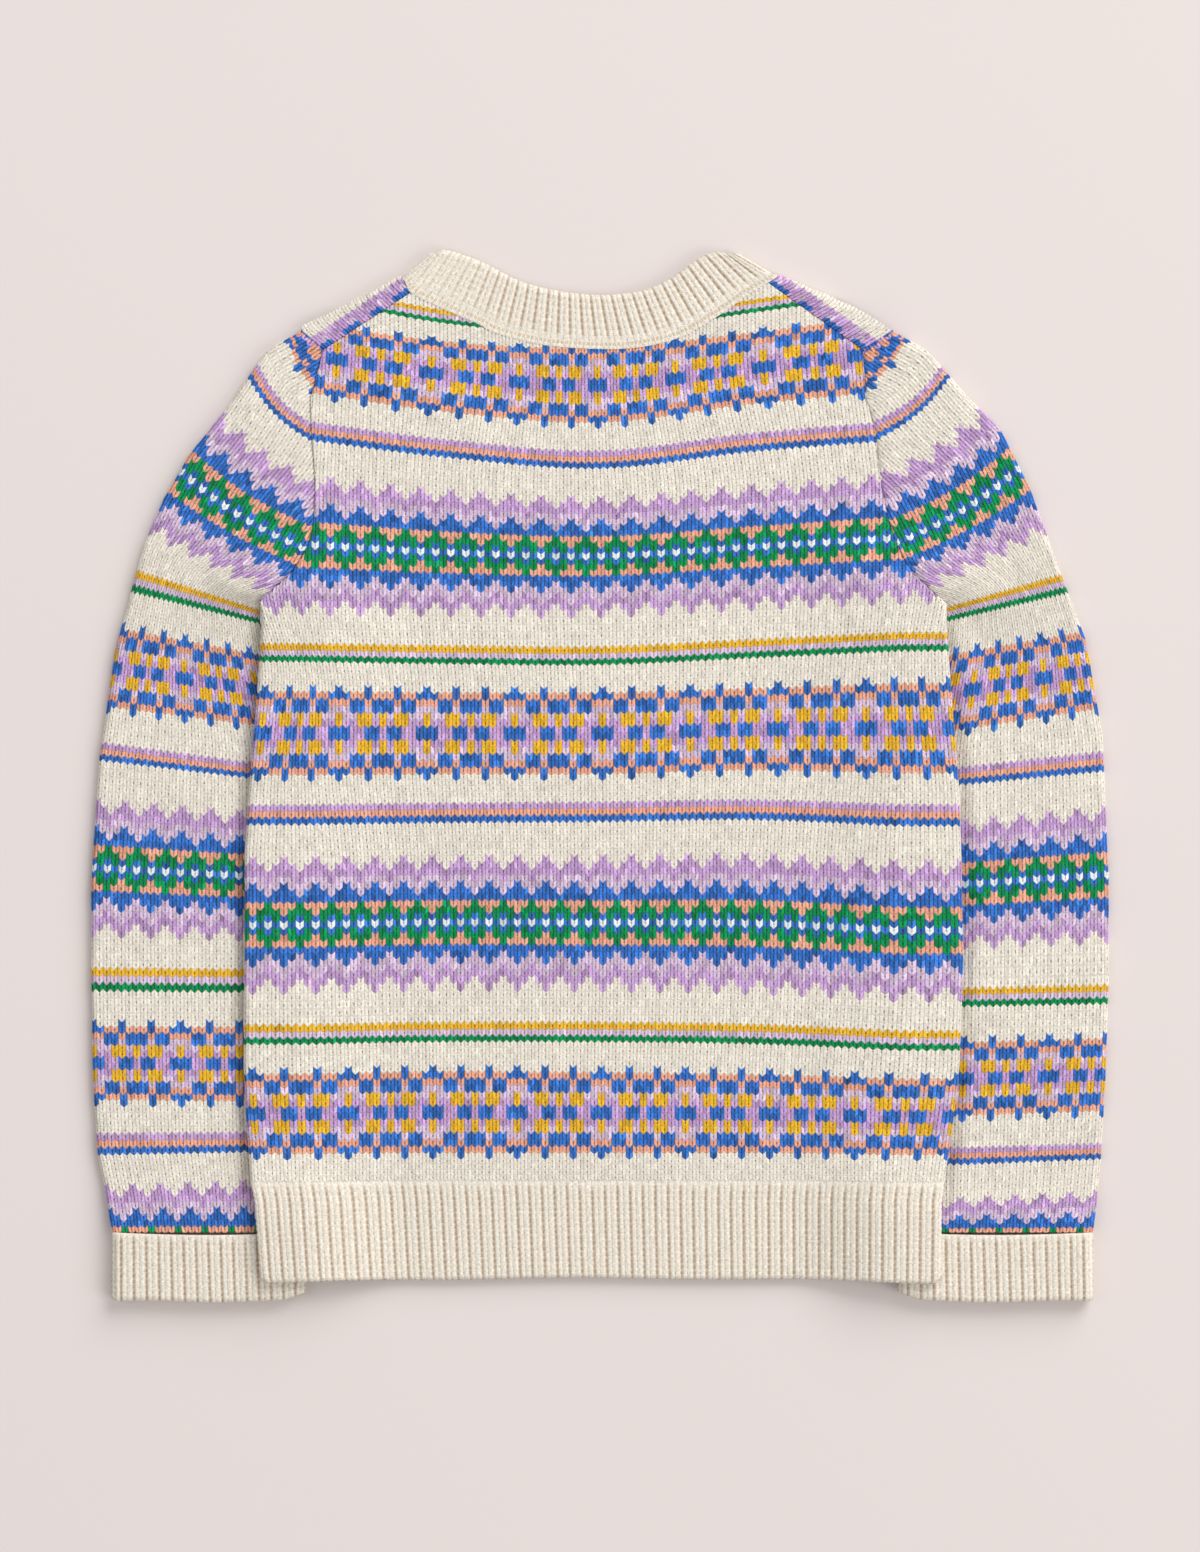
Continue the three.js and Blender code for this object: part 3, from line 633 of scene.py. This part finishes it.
# The body's lift reaches into the head from these heights on, fading away from the seam, and the
# cuff's lift reaches up to these heights
HEAD_LIFT_BEGINS = (80, 94)
HEAD_LIFT_FADES = (4, 34)
WRIST_LIFT_ENDS = (-226, -196)
# The body's edge presses the sleeve down by so much, fading over such a width beside it, from
# the cuff up to the underarm
PRESSED = 2.7
PRESSED_WIDE = 9
PRESSED_BEGINS = (-224, -206)
PRESSED_ENDS = (66, 86)


def sleeve(side):
    """A flattened tube with a head that is open to the armhole."""
    folds = SLEEVE_FOLDS[side]
    table = SLEEVE_ROWS[side]
    arm_column = 1 if side == "left" else 2
    outward = -1 if side == "left" else 1
    radius = SLEEVE_HEIGHT / 2
    bend = math.pi * radius
    under_seam = 0.7

    def place(U, W):
        outer_y = np.interp(W, table[:, 0], table[:, 1])
        inner_y = np.interp(W, table[:, 0], table[:, 2])
        outer_x = column_of(folds, outer_y, 1)
        fold_x = np.interp(inner_y, folds[::-1, 2], folds[::-1, 3])
        arm_x = column_of(ARMHOLE, inner_y, arm_column) - outward * under_seam
        cap = inner_y > UNDERARM
        inner_x = np.where(cap, arm_x, fold_x)
        dx, dy = inner_x - outer_x, inner_y - outer_y
        length = np.hypot(dx, dy)
        flat = np.maximum(length - 2 * radius, 0.1)
        pitch = mix(STITCH_WIDE, (flat + bend) / SLEEVE_COLUMNS, smooth(*PITCH_ROWS, W))
        # Run round the tube from the middle of the outer fold: over the top, then back under
        turn = U % (2 * SLEEVE_COLUMNS)
        under = turn > SLEEVE_COLUMNS
        run = np.where(under, 2 * SLEEVE_COLUMNS - turn, turn) * pitch
        half = bend / 2
        angle = np.clip(run / radius, 0, math.pi / 2)
        inner_turn = np.clip((run - half - flat) / radius, 0, math.pi / 2)
        straight = np.clip(run - half, 0, flat)
        cap_end = half + np.maximum(length - radius, 0.1)
        reach_cap = radius * (1 - np.cos(angle)) + np.clip(run - half, 0, cap_end - half)
        reach_tube = radius * (1 - np.cos(angle)) + straight + radius * np.sin(inner_turn)
        reach = np.where(cap, np.minimum(reach_cap, length), reach_tube)
        rise = np.sin(angle) * np.where(cap, 1, np.cos(inner_turn))
        s = reach / length
        x = outer_x + dx * s
        y = outer_y + dy * s
        sag = HEAD_SAG * np.sin(math.pi * np.clip(s, 0, 1))
        sag = sag * smooth(*HEAD_SAG_BEGINS, W) * (1 - smooth(*HEAD_SAG_ENDS, W))
        x = x + outward * sag * SAG_LEAN
        y = y - sag * SAG_LEAN
        # Height: the body's lift at the underarm, and the cuff's at the wrist
        seam_off = np.abs(inner_x - x)
        beside = body_lift(column_of(ARMHOLE, y, arm_column) * 0.999, y)
        lift = beside * (1 - smooth(*HEAD_LIFT_FADES, seam_off)) * smooth(*HEAD_LIFT_BEGINS, y)
        lift = lift + (CUFF_HALF - radius) * (1 - smooth(*WRIST_LIFT_ENDS, y))
        # It dips to the armhole seam and under the shoulder strip, and where the body presses on it
        near_seam = np.where(cap, length - reach, FAR_FROM_SEAM)
        dip = 0.3 * (1 - smooth(0.8, 3, near_seam)) + 0.9 * (1 - smooth(0, 0.8, near_seam))
        dip = dip + 1.2 * (1 - smooth(SLEEVE_FIRST, SLEEVE_FIRST + 1, W))
        beyond_body = outward * (x - body_edge(side, y)) * np.where(y < UNDERARM, 1, 0)
        pressed = PRESSED * (1 - smooth(0, PRESSED_WIDE, beyond_body))
        pressed = pressed * (1 - smooth(*PRESSED_ENDS, y)) * smooth(*PRESSED_BEGINS, y)
        dip = dip + np.where(under, 0, pressed)
        up = np.where(under, -1, 1)
        soft = creases(SLEEVE_CREASES, x, y, mirror=side == "right")
        soft = np.where(under, 0, soft * np.clip(near_seam / 8, 0, 1)) * smooth(0, 0.12, s)
        z = radius + lift + up * (radius * rise - dip) + soft
        side_x, side_y = dx / length, dy / length
        out = -np.cos(angle) + np.where(cap, 0, np.sin(inner_turn))
        normal = np.stack([side_x * out, side_y * out, up * rise], -1)
        return np.stack([x, y, z], -1), normal

    # The head's first rows are shown without yellow and light lilac, as far as they can be made out
    head_rows = 12
    head = [row.replace("Y", "O").replace("L", "B") for row in PERIOD[:head_rows]]
    chart = head + PERIOD[head_rows:] + PERIOD * 2
    part = knit_part(place, 2 * SLEEVE_COLUMNS, SLEEVE_LAST - SLEEVE_FIRST, SLEEVE_FIRST, chart,
                     flip=side == "right", shift=4 if side == "right" else 0)
    return joined("jumper_sleeve_" + side, [part])


# Ribs: two raised columns of stitches and a narrow sunk one. Each step is a share of the rib's
# width with its height, and a painted shade for the strip that begins there, darkest in the grooves

RIB_STEPS = [
    (0.0, -0.62), (0.1, -0.45), (0.2, 0.06), (0.31, -0.02), (0.43, 0.08),
    (0.54, -0.3), (0.65, 0.08), (0.77, -0.02), (0.91, 0.06),
]
RIB_PAINTED_SHADE = [0.5, 0.72, 1.0, 1.0, 0.92, 0.95, 1.0, 1.0, 0.72]
# Stitches swell by so much. Steps no higher than this are grooves, which don't swell
RIB_SWELL = 0.14
RIB_GROOVE = -0.3
RIB_UNEVEN = 0.03
RIB_CREAM = YARN_LINEAR[YARN_KEYS.index("C")] * np.array([0.92, 0.91, 0.9])
RIB_DYE_SPREAD = 0.04
# Warm tint of the painted shade in the grooves, and colour of the painted shadow on the cloth under the
# chain at the neck seam
GROOVE_SHADE_TINT = np.array([0.9, 0.66, 0.42])
CHAIN_SHADOW = np.array([0.8, 0.72, 0.62])
# Widths of a rib on the hem and on the cuffs
HEM_RIB_WIDE = 6.25
CUFF_RIB_WIDE = 5.85
# Left and right end of each cuff
CUFF_ENDS = {"left": (-243.5, -147), "right": (148.5, 246)}


def rib_part(place, ribs, rows, flip=False, chain=False):
    """Ribs over a surface. place(t, v) gives points, normals and how far the ribs stand up there.
    t runs from 0 to 1 across the ribs and v in rows. A chain is a row of small stitches at the
    start."""
    steps = len(RIB_STEPS)
    across = np.array([(k + share) / ribs for k in range(ribs) for share, _ in RIB_STEPS] + [1.0])
    relief = np.array([high for _, high in RIB_STEPS] * ribs + [RIB_STEPS[0][1]])
    # Twice as many lines as rows, so that each stitch swells and tucks under the next
    v = np.arange(2 * rows + 1) / 2
    T, V = np.meshgrid(across, v)
    points, normals, raised = place(T, V)
    swell = RIB_SWELL * np.cos(2 * math.pi * V)
    height = (relief[None, :] + np.where(relief[None, :] > RIB_GROOVE, -swell, 0)) * raised
    if chain:
        # Three links to a rib, and a dip under them
        link = np.sin(2 * math.pi * T * ribs * 3)
        height = height + np.where(V < 0.6, 0.4 + 0.25 * link, 0)
        height = height - np.where(V == 1, 0.5 + 0.2 * link, 0)
    points = points + normals * (height + rng.normal(0, RIB_UNEVEN, height.shape))[..., None]
    faces = grid_faces(len(across), len(v), flip)
    flat = points.reshape(-1, 3)
    step = np.tile(np.arange(len(across) - 1) % steps, len(v) - 1)
    shade = np.array(RIB_PAINTED_SHADE)[step]
    whole = rng.normal(0, 1, (len(v) - 1, len(across) - 1)).ravel()
    fade = (raised[:-1, :-1] + raised[1:, 1:]).ravel() / 2
    # The painted shade in the grooves is deeper and paler row by row, a ladder of rungs
    line = np.repeat(np.arange(len(v) - 1), len(across) - 1)
    ladder = np.where(line % 2 == 0, 1.25, 0.75)
    shade = 1 - (1 - shade) * fade * ladder
    # Painted shade: grooves and low steps are darkened and tinted warm
    groove_shade_tint = mix(GROOVE_SHADE_TINT, np.ones(3), shade[:, None])
    dye = np.exp(RIB_DYE_SPREAD * whole)[:, None]
    colours = RIB_CREAM * mix(1, shade, 0.6)[:, None] * groove_shade_tint * dye
    if chain:
        # Painted shadow on the cloth under the chain's links
        under = (line == 1) & (step % 3 < 2)
        colours = np.where(under[:, None], colours * CHAIN_SHADOW, colours)
    uv = np.stack([T * ribs, V], -1).reshape(-1, 2)[faces]
    sheet = np.stack([T, V / rows], -1).reshape(-1, 2)[faces]
    return flat, faces, np.clip(colours, 0, 1), uv.reshape(-1, 2), sheet.reshape(-1, 2)


def hem(front):
    """Half of the hem's rib, from side seam to side seam, with its free edge turned in."""
    width = 344
    ribs = round(width / HEM_RIB_WIDE)
    depth_rows = 17
    edge_rows = 1
    inside_rows = 1
    rows = depth_rows + edge_rows + inside_rows
    up = -1 if front else 1
    face = 2.1
    curl = EDGE_RADIUS * math.pi / 2
    corner_wide, corner_high = 7, 5

    def place(T, V):
        # Down the outside, round the free edge and a little way up the inside
        outside = np.clip(V / depth_rows, 0, 1)
        turn = np.clip((V - depth_rows) / edge_rows, 0, 1)
        inside = np.clip((V - depth_rows - edge_rows) / inside_rows, 0, 1)
        corner = np.clip(np.minimum(T, 1 - T) * width / corner_wide, 0, 1)
        # The free edge waves a little, and is rounded off at the side seams
        wave = 1.2 + 1.6 * np.sin(math.pi * T) + 0.4 * np.sin(T * 17)
        rounded = corner_high * (1 - np.sqrt(1 - (1 - corner) ** 2))
        bottom = HEM_BOTTOM + face / 2 + wave + rounded
        top = HEM_TOP + 0.5
        y = mix(top, bottom, outside) - face / 2 * np.sin(math.pi * turn)
        y = np.where(V > depth_rows + edge_rows, bottom + 3 * inside, y)
        depth = face * (1 - np.cos(math.pi * turn)) / 2
        depth = depth * np.clip(np.minimum(T, 1 - T) * ribs * 4, 0, 1)
        left, right = body_edge("left", y), body_edge("right", y)
        extra = curl - EDGE_RADIUS
        total = right - left + 2 * extra
        run = T * total
        from_edge = np.minimum(run, total - run)
        side = np.where(T > 0.5, -1, 1)
        angle = np.clip(from_edge / EDGE_RADIUS, 0, math.pi / 2)
        reach = EDGE_RADIUS - depth
        inward = np.where(from_edge < curl, EDGE_RADIUS - reach * np.cos(angle), from_edge - extra)
        drop = np.where(from_edge < curl, EDGE_RADIUS - reach * np.sin(angle), depth)
        x = np.where(side > 0, left + inward, right - inward)
        lift = body_lift(x, y)
        # The first rows of the rib sink a little where the panel's cloth begins
        sink = 0.25 * (1 - smooth(0, 1.2, V))
        z = lift + (drop + sink if front else BODY_HEIGHT - drop - sink)
        # The ribs begin unevenly, at places between the stitches of the panel
        start = 0.45 * np.sin(T * 61) * np.sin(T * 23) + 0.3
        raised = np.where(V > depth_rows + 0.4, 0, 1) * smooth(0, 1, (V - start) / 1.6)
        nz = up * np.sin(angle)
        normal = np.stack([-side * np.cos(angle), np.zeros_like(nz), nz], -1)
        return np.stack([x, y, z], -1), normal, raised

    part = rib_part(place, ribs, rows, flip=front)
    return joined("jumper_hem_" + ("front" if front else "back"), [part])


def ring_place(half_width, t):
    """Place round a flattened tube of half height CUFF_HALF, for t from 0 to 1: how far across the
    tube's middle line it lies, and the outward direction there."""
    flat = 2 * (half_width - CUFF_HALF)
    bend = math.pi * CUFF_HALF
    total = 2 * (flat + bend)
    run = (t % 1) * total
    top = run < flat
    right = (run >= flat) & (run < flat + bend)
    below = (run >= flat + bend) & (run < 2 * flat + bend)
    straight = half_width - CUFF_HALF
    stretches = [top, right, below]
    centre = np.select(stretches, [run - straight, straight, straight - (run - flat - bend)], -straight)
    angle = np.select(
        stretches,
        [np.zeros_like(run), (run - flat) / CUFF_HALF, np.full_like(run, math.pi)],
        math.pi + (run - 2 * flat - bend) / CUFF_HALF,
    )
    return centre, np.sin(angle), np.cos(angle)


def cuff(side):
    """A rib ring turned back: from its free edge down the outside, round the fold and up inside."""
    left, right = CUFF_ENDS[side]
    half_width = (right - left) / 2
    middle = (left + right) / 2
    ribs = round(4 * half_width / CUFF_RIB_WIDE)
    outside_rows = 11
    fold_rows = 3
    inside_rows = 9
    lip_rows = 2
    rows = lip_rows + outside_rows + fold_rows + inside_rows + 1
    layer = 2.0
    inner_offset = 0.4
    fold = (CUFF_HALF - inner_offset) / 2
    body_rise = 3.5

    def place(T, V):
        lip = np.clip(V / lip_rows, 0, 1)
        down = np.clip((V - lip_rows) / outside_rows, 0, 1)
        turn = np.clip((V - lip_rows - outside_rows) / fold_rows, 0, 1)
        inside = np.clip((V - lip_rows - outside_rows - fold_rows) / inside_rows, 0, 1)
        shut = np.clip(V - (rows - 1), 0, 1)
        centre, out_x, out_z = ring_place(half_width, T)
        # The lower edge waves and rises toward the body, and the upper one sags in the middle
        across = np.clip((centre + out_x * CUFF_HALF) / (2 * half_width) + 0.5, 0, 1)
        toward_body = across if side == "left" else 1 - across
        low = CUFF_BOTTOM + fold + 0.5 + 0.5 * np.sin(toward_body * 9)
        low = low + body_rise * smooth(0.8, 1, toward_body) ** 2
        upper = CUFF_TOP - 1.3 * np.sin(math.pi * toward_body)
        y = mix(upper - layer / 2 + 0.6, low, down) + layer / 2 * np.sin(math.pi * lip)
        y = y - fold * np.sin(math.pi * turn)
        y = np.where(inside > 0, mix(low, upper - 0.4, inside), y)
        offset = CUFF_HALF - layer * (1 + np.cos(math.pi * lip)) / 2
        offset = offset - (CUFF_HALF - inner_offset) * (1 - np.cos(math.pi * turn)) / 2
        offset = np.where(shut > 0, mix(inner_offset, CUFF_HALF - layer, shut), offset)
        y = np.where(shut > 0, mix(upper - 0.4, upper - layer / 2 + 0.6, shut), y)
        lean = 1.2 * np.sin(T * 2 * math.pi) * (y - CUFF_TOP) / (CUFF_BOTTOM - CUFF_TOP)
        x = middle + centre + lean + out_x * offset
        z = CUFF_HALF + out_z * offset
        fold_row = lip_rows + outside_rows
        raised = smooth(1.9, 3, V) * (1 - smooth(fold_row + 1, fold_row + 3, V))
        normal = np.stack([out_x, np.zeros_like(out_x), out_z], -1)
        return np.stack([x, y, z], -1), normal, raised

    part = rib_part(place, ribs, rows)
    return joined("jumper_cuff_" + side, [part])


def neckband():
    """One rib ring, folded flat at both shoulders, from the neck seam to its free edge."""
    back_ribs = 33
    front_ribs = 41
    ribs = back_ribs + front_ribs
    radius = BODY_HEIGHT / 2
    outside_rows = 8
    lip_rows = 1
    inside_rows = 1
    rows = outside_rows + lip_rows + inside_rows
    layer = 2.1
    turn_share = 1.3 / ribs
    back_share = back_ribs / ribs

    def place(T, V):
        # Round the ring: the back from left to right, the right fold, the front, the left fold
        back = T < back_share
        tb = np.clip((T - turn_share) / (back_share - 2 * turn_share), 0, 1)
        tf = np.clip((T - back_share - turn_share) / (1 - back_share - 2 * turn_share), 0, 1)
        right_turn = np.clip((T - (back_share - turn_share)) / (2 * turn_share), 0, 1)
        begins, ends = T < turn_share, T > 1 - turn_share
        from_end = (T - (1 - turn_share)) / (2 * turn_share)
        left_turn = np.clip(np.where(begins, 0.5 + T / (2 * turn_share), from_end), 0, 1)
        at_left = begins | ends
        angle = np.where(at_left, math.pi * (1 - left_turn), math.pi * right_turn)
        t = np.where(back, tb, 1 - tf)
        seam_b, seam_f = along(NECK_SEAM_BACK, tb), along(NECK_SEAM_FRONT, 1 - tf)
        free_b, free_f = along(NECK_FREE_BACK, tb), along(NECK_FREE_FRONT, 1 - tf)
        seam_x, seam_y = (np.where(back, b, f) for b, f in zip(seam_b, seam_f))
        free_x, free_y = (np.where(back, b, f) for b, f in zip(free_b, free_f))
        outside = np.clip(V / outside_rows, 0, 1)
        lip = np.clip((V - outside_rows) / lip_rows, 0, 1)
        inside = np.clip((V - outside_rows - lip_rows) / inside_rows, 0, 1)
        # Share of the way from the seam, which the band overlaps, to the free edge
        f = mix(-0.06, 0.965, outside) + 0.04 * np.sin(math.pi * lip) - 0.12 * inside
        depth = layer * (1 - np.cos(math.pi * lip)) / 2
        sink = 0.4 * (1 - smooth(0, 0.5, V))
        reach = radius - depth - sink
        side = np.where(t > 0.5, 1, -1)
        out_x, out_y = side * 0.78, 0.62
        x = mix(seam_x, free_x, f) + out_x * reach * np.sin(angle)
        y = mix(seam_y, free_y, f) + out_y * reach * np.sin(angle)
        z = radius + reach * np.cos(angle)
        # The band lies slack near the left fold, where its ribs hardly show
        slack = np.where(back, 0.35 + 0.65 * smooth(0.06, 0.3, tb), 1)
        raised = np.where(V > outside_rows + 0.4, 0, slack) * smooth(1.2, 2.6, V)
        normal = np.stack([out_x * np.sin(angle), out_y * np.sin(angle), np.cos(angle)], -1)
        return np.stack([x, y, z], -1), normal, raised

    part = rib_part(place, ribs, rows, flip=True, chain=True)
    return joined("jumper_neckband", [part])


# Materials

def knit_material(name, leg_depth, hollow_shade_colour, inner_gap, outer_gap):
    """Knit stitches: the mesh gives each stitch's colour and its place in the knit, and the hollows are
    darkened toward a painted shade colour. The gaps are the half widths, in stitches, of the hollow
    inside a V and of those between columns."""
    material = bpy.data.materials.new(name)
    material.use_nodes = True
    tree = material.node_tree
    nodes, links = tree.nodes, tree.links
    shader = nodes["Principled BSDF"]

    def node(kind, **values):
        made = nodes.new(kind)
        for key, value in values.items():
            setattr(made, key, value)
        return made

    def noise(scale, detail):
        made = node("ShaderNodeTexNoise")
        made.inputs["Scale"].default_value = scale
        made.inputs["Detail"].default_value = detail
        links.new(place.outputs["Object"], made.inputs["Vector"])
        return made.outputs["Fac"]

    def multiplied(first, second):
        made = node("ShaderNodeMix", data_type="RGBA", blend_type="MULTIPLY")
        made.inputs["Factor"].default_value = 1.0
        links.new(first, made.inputs["A"])
        links.new(second, made.inputs["B"])
        return made.outputs["Result"]

    def math_node(operation, first, second=None):
        made = node("ShaderNodeMath", operation=operation)
        for slot, value in enumerate((first, second)):
            if value is None:
                continue
            if isinstance(value, (int, float)):
                made.inputs[slot].default_value = value
            else:
                links.new(value, made.inputs[slot])
        return made.outputs[0]

    # Colour attribute: yarn colour, with painted shade on the ribs
    yarn_and_shade = node("ShaderNodeVertexColor", layer_name="yarn_and_shade")
    stitch = node("ShaderNodeUVMap", uv_map="knit")
    split = node("ShaderNodeSeparateXYZ")
    links.new(stitch.outputs["UV"], split.inputs[0])
    place = node("ShaderNodeTexCoord")

    # Loose fibres, and broader unevenness of dye and stitches
    fibre = noise(950.0, 3.0)
    broad = noise(420.0, 2.0)

    # Across a stitch and down it, each from 0 to 1: gaps between the legs, between the columns and
    # at the ends of the legs, and a small hole of uneven size inside each V. These hollows sink the
    # bump and darken the base colour with painted shade
    across = math_node("FRACT", split.outputs["X"])
    down = math_node("FRACT", split.outputs["Y"])

    def gap(value, middle, half):
        off = math_node("ABSOLUTE", math_node("SUBTRACT", value, middle))
        near = node("ShaderNodeMapRange", interpolation_type="SMOOTHSTEP")
        near.inputs["From Min"].default_value = half
        near.inputs["From Max"].default_value = 0.0
        links.new(off, near.inputs["Value"])
        return near.outputs["Result"]

    inner_line = gap(across, 0.5, inner_gap)
    outer_line = math_node("MAXIMUM", gap(across, 0.0, outer_gap), gap(across, 1.0, outer_gap))
    ends = math_node("MAXIMUM", gap(down, 0.0, 0.16), gap(down, 1.0, 0.16))
    uneven = math_node("ADD", math_node("MULTIPLY", broad, 3.4), -0.6)
    hole = math_node("MULTIPLY", math_node("MULTIPLY", inner_line, gap(down, 0.3, 0.3)), uneven)
    hole = math_node("MAXIMUM", math_node("MINIMUM", hole, 1.0), 0.0)
    hollow = math_node("MULTIPLY", inner_line, 0.35)
    hollow = math_node("MAXIMUM", hollow, math_node("MULTIPLY", outer_line, 0.42))
    hollow = math_node("MAXIMUM", hollow, hole)
    hollow = math_node("MAXIMUM", hollow, math_node("MULTIPLY", ends, 0.22))
    plump = math_node("SUBTRACT", 1.0, hollow)

    # The ply of the yarn, three turns to a row: it shapes the bump, and adds a faint painted light and
    # shade along the ply to the colour
    down_run = math_node("MULTIPLY", split.outputs["Y"], 3.0)
    twist_run = math_node("ADD", down_run, math_node("MULTIPLY", across, 2.8))
    twist = math_node("SINE", math_node("MULTIPLY", twist_run, 2 * math.pi))

    shade = math_node("MULTIPLY", math_node("SUBTRACT", fibre, 0.5), 0.8)
    shade = math_node("ADD", shade, 1.04)
    patches = math_node("MULTIPLY", math_node("SUBTRACT", broad, 0.5), 0.16)
    shade = math_node("ADD", shade, patches)
    shade = math_node("ADD", shade, math_node("MULTIPLY", twist, 0.03))
    # Painted shade: the base colour is mixed toward the hollow shade colour wherever the hollows are
    deep = node("ShaderNodeMix", data_type="RGBA", blend_type="MIX")
    deep.inputs["A"].default_value = (*hollow_shade_colour, 1)
    deep.inputs["B"].default_value = (1, 1, 1, 1)
    # The painted shade in the hollows is made stronger on dark yarns than on pale ones, which light
    # each other
    channels = node("ShaderNodeSeparateColor")
    links.new(yarn_and_shade.outputs["Color"], channels.inputs["Color"])
    darker = math_node("SUBTRACT", 2.8, math_node("MULTIPLY", channels.outputs["Green"], 2.1))
    shadow = math_node("MINIMUM", math_node("MULTIPLY", hollow, darker), 1.0)
    links.new(math_node("SUBTRACT", 1.0, shadow), deep.inputs["Factor"])
    hollowed = multiplied(yarn_and_shade.outputs["Color"], deep.outputs["Result"])
    links.new(multiplied(hollowed, shade), shader.inputs["Base Color"])

    raised = math_node("ADD", plump, math_node("MULTIPLY", twist, 0.1))
    raised = math_node("ADD", raised, math_node("MULTIPLY", fibre, 0.35))
    bump = node("ShaderNodeBump")
    bump.inputs["Strength"].default_value = 0.6
    bump.inputs["Distance"].default_value = leg_depth
    links.new(raised, bump.inputs["Height"])
    links.new(bump.outputs["Normal"], shader.inputs["Normal"])
    shader.inputs["Roughness"].default_value = 0.92
    shader.inputs["Sheen Weight"].default_value = 0.07
    shader.inputs["Sheen Roughness"].default_value = 0.6
    shader.inputs["Specular IOR Level"].default_value = 0.2
    return material


def floor_and_light():
    """A pale floor, three soft lamps and an even studio light. Sizes here are in metres."""
    floor_mesh = bpy.data.meshes.new("floor")
    half = 3.0
    below = -0.0003
    corners = [(-half, -half, below), (half, -half, below), (half, half, below), (-half, half, below)]
    floor_mesh.from_pydata(corners, [], [(0, 1, 2, 3)])
    floor = bpy.data.objects.new("floor", floor_mesh)
    bpy.context.scene.collection.objects.link(floor)
    paper = bpy.data.materials.new("pale_backdrop")
    paper.use_nodes = True
    shader = paper.node_tree.nodes["Principled BSDF"]
    shader.inputs["Base Color"].default_value = (0.80, 0.73, 0.71, 1)
    shader.inputs["Roughness"].default_value = 0.95
    shader.inputs["Specular IOR Level"].default_value = 0.1
    floor_mesh.materials.append(paper)

    def panel(name, place, size, watts, colour):
        light = bpy.data.lights.new(name, "AREA")
        light.shape = "RECTANGLE"
        light.size, light.size_y = size
        light.energy = watts
        light.color = colour
        lamp = bpy.data.objects.new(name, light)
        lamp.location = place
        lamp.rotation_euler = (-Vector(place)).to_track_quat("-Z", "Y").to_euler()
        bpy.context.scene.collection.objects.link(lamp)

    panel("window_light", (3.4, 5.2, 4.0), (5.4, 5.4), 450, (1.0, 0.985, 0.97))
    panel("side_light", (5.4, -2.4, 3.8), (3.8, 3.8), 134, (1.0, 0.99, 0.985))
    panel("fill_light", (-4.0, 0.5, 5.0), (3.6, 3.6), 44, (0.98, 0.99, 1.0))
    world = bpy.data.worlds.new("studio")
    world.use_nodes = True
    world.node_tree.nodes["Background"].inputs["Color"].default_value = (1.0, 0.985, 0.975, 1)
    world.node_tree.nodes["Background"].inputs["Strength"].default_value = 0.42
    bpy.context.scene.world = world
    bpy.context.scene.view_settings.view_transform = "Standard"


def camera():
    """Straight above, with 0.776 m from the top of the picture to the bottom, as the photograph."""
    distance = 2.4
    field = 0.776
    sensor = 24
    data = bpy.data.cameras.new("camera")
    data.sensor_fit = "VERTICAL"
    data.sensor_height = sensor
    data.lens = sensor * distance / field
    view = bpy.data.objects.new("camera", data)
    view.location = (0, 0, distance)
    bpy.context.scene.collection.objects.link(view)
    bpy.context.scene.camera = view


def dress():
    """Makes every piece, gives it its knit, hangs it under the root body and hides the solid it stands
    for.
    """
    # The third argument is the colour of the painted shade in the hollows between legs and columns
    plain = knit_material("knit_stitches", 0.0009, (0.36, 0.29, 0.22), 0.15, 0.1)
    rib = knit_material("rib_stitches", 0.0004, (0.84, 0.79, 0.72), 0.08, 0.08)
    # Piece, node that it replaces, material, flat width and length of its cut in metres, and the
    # share of that rectangle that the cut fills
    plan = [
        (back_panel(), "back_panel", plain, (0.360, 0.450), 0.87),
        (front_panel(), "front_panel", plain, (0.360, 0.465), 0.84),
        (sleeve("left"), "sleeve_left", plain, (0.216, 0.440), 0.83),
        (sleeve("right"), "sleeve_right", plain, (0.216, 0.440), 0.83),
        (cuff("left"), "cuff_left", rib, (0.193, 0.070), 1.0),
        (cuff("right"), "cuff_right", rib, (0.195, 0.070), 1.0),
        (hem(False), "hem_rib_back", rib, (0.346, 0.0515), 1.0),
        (hem(True), "hem_rib_front", rib, (0.346, 0.0515), 1.0),
        (neckband(), "neckband", rib, (0.413, 0.027), 1.0),
    ]
    for piece, node_name, material, flat, share in plan:
        piece.data.materials.append(material)
        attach(piece, "root")
        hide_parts(node_name)


dress()
floor_and_light()
camera()
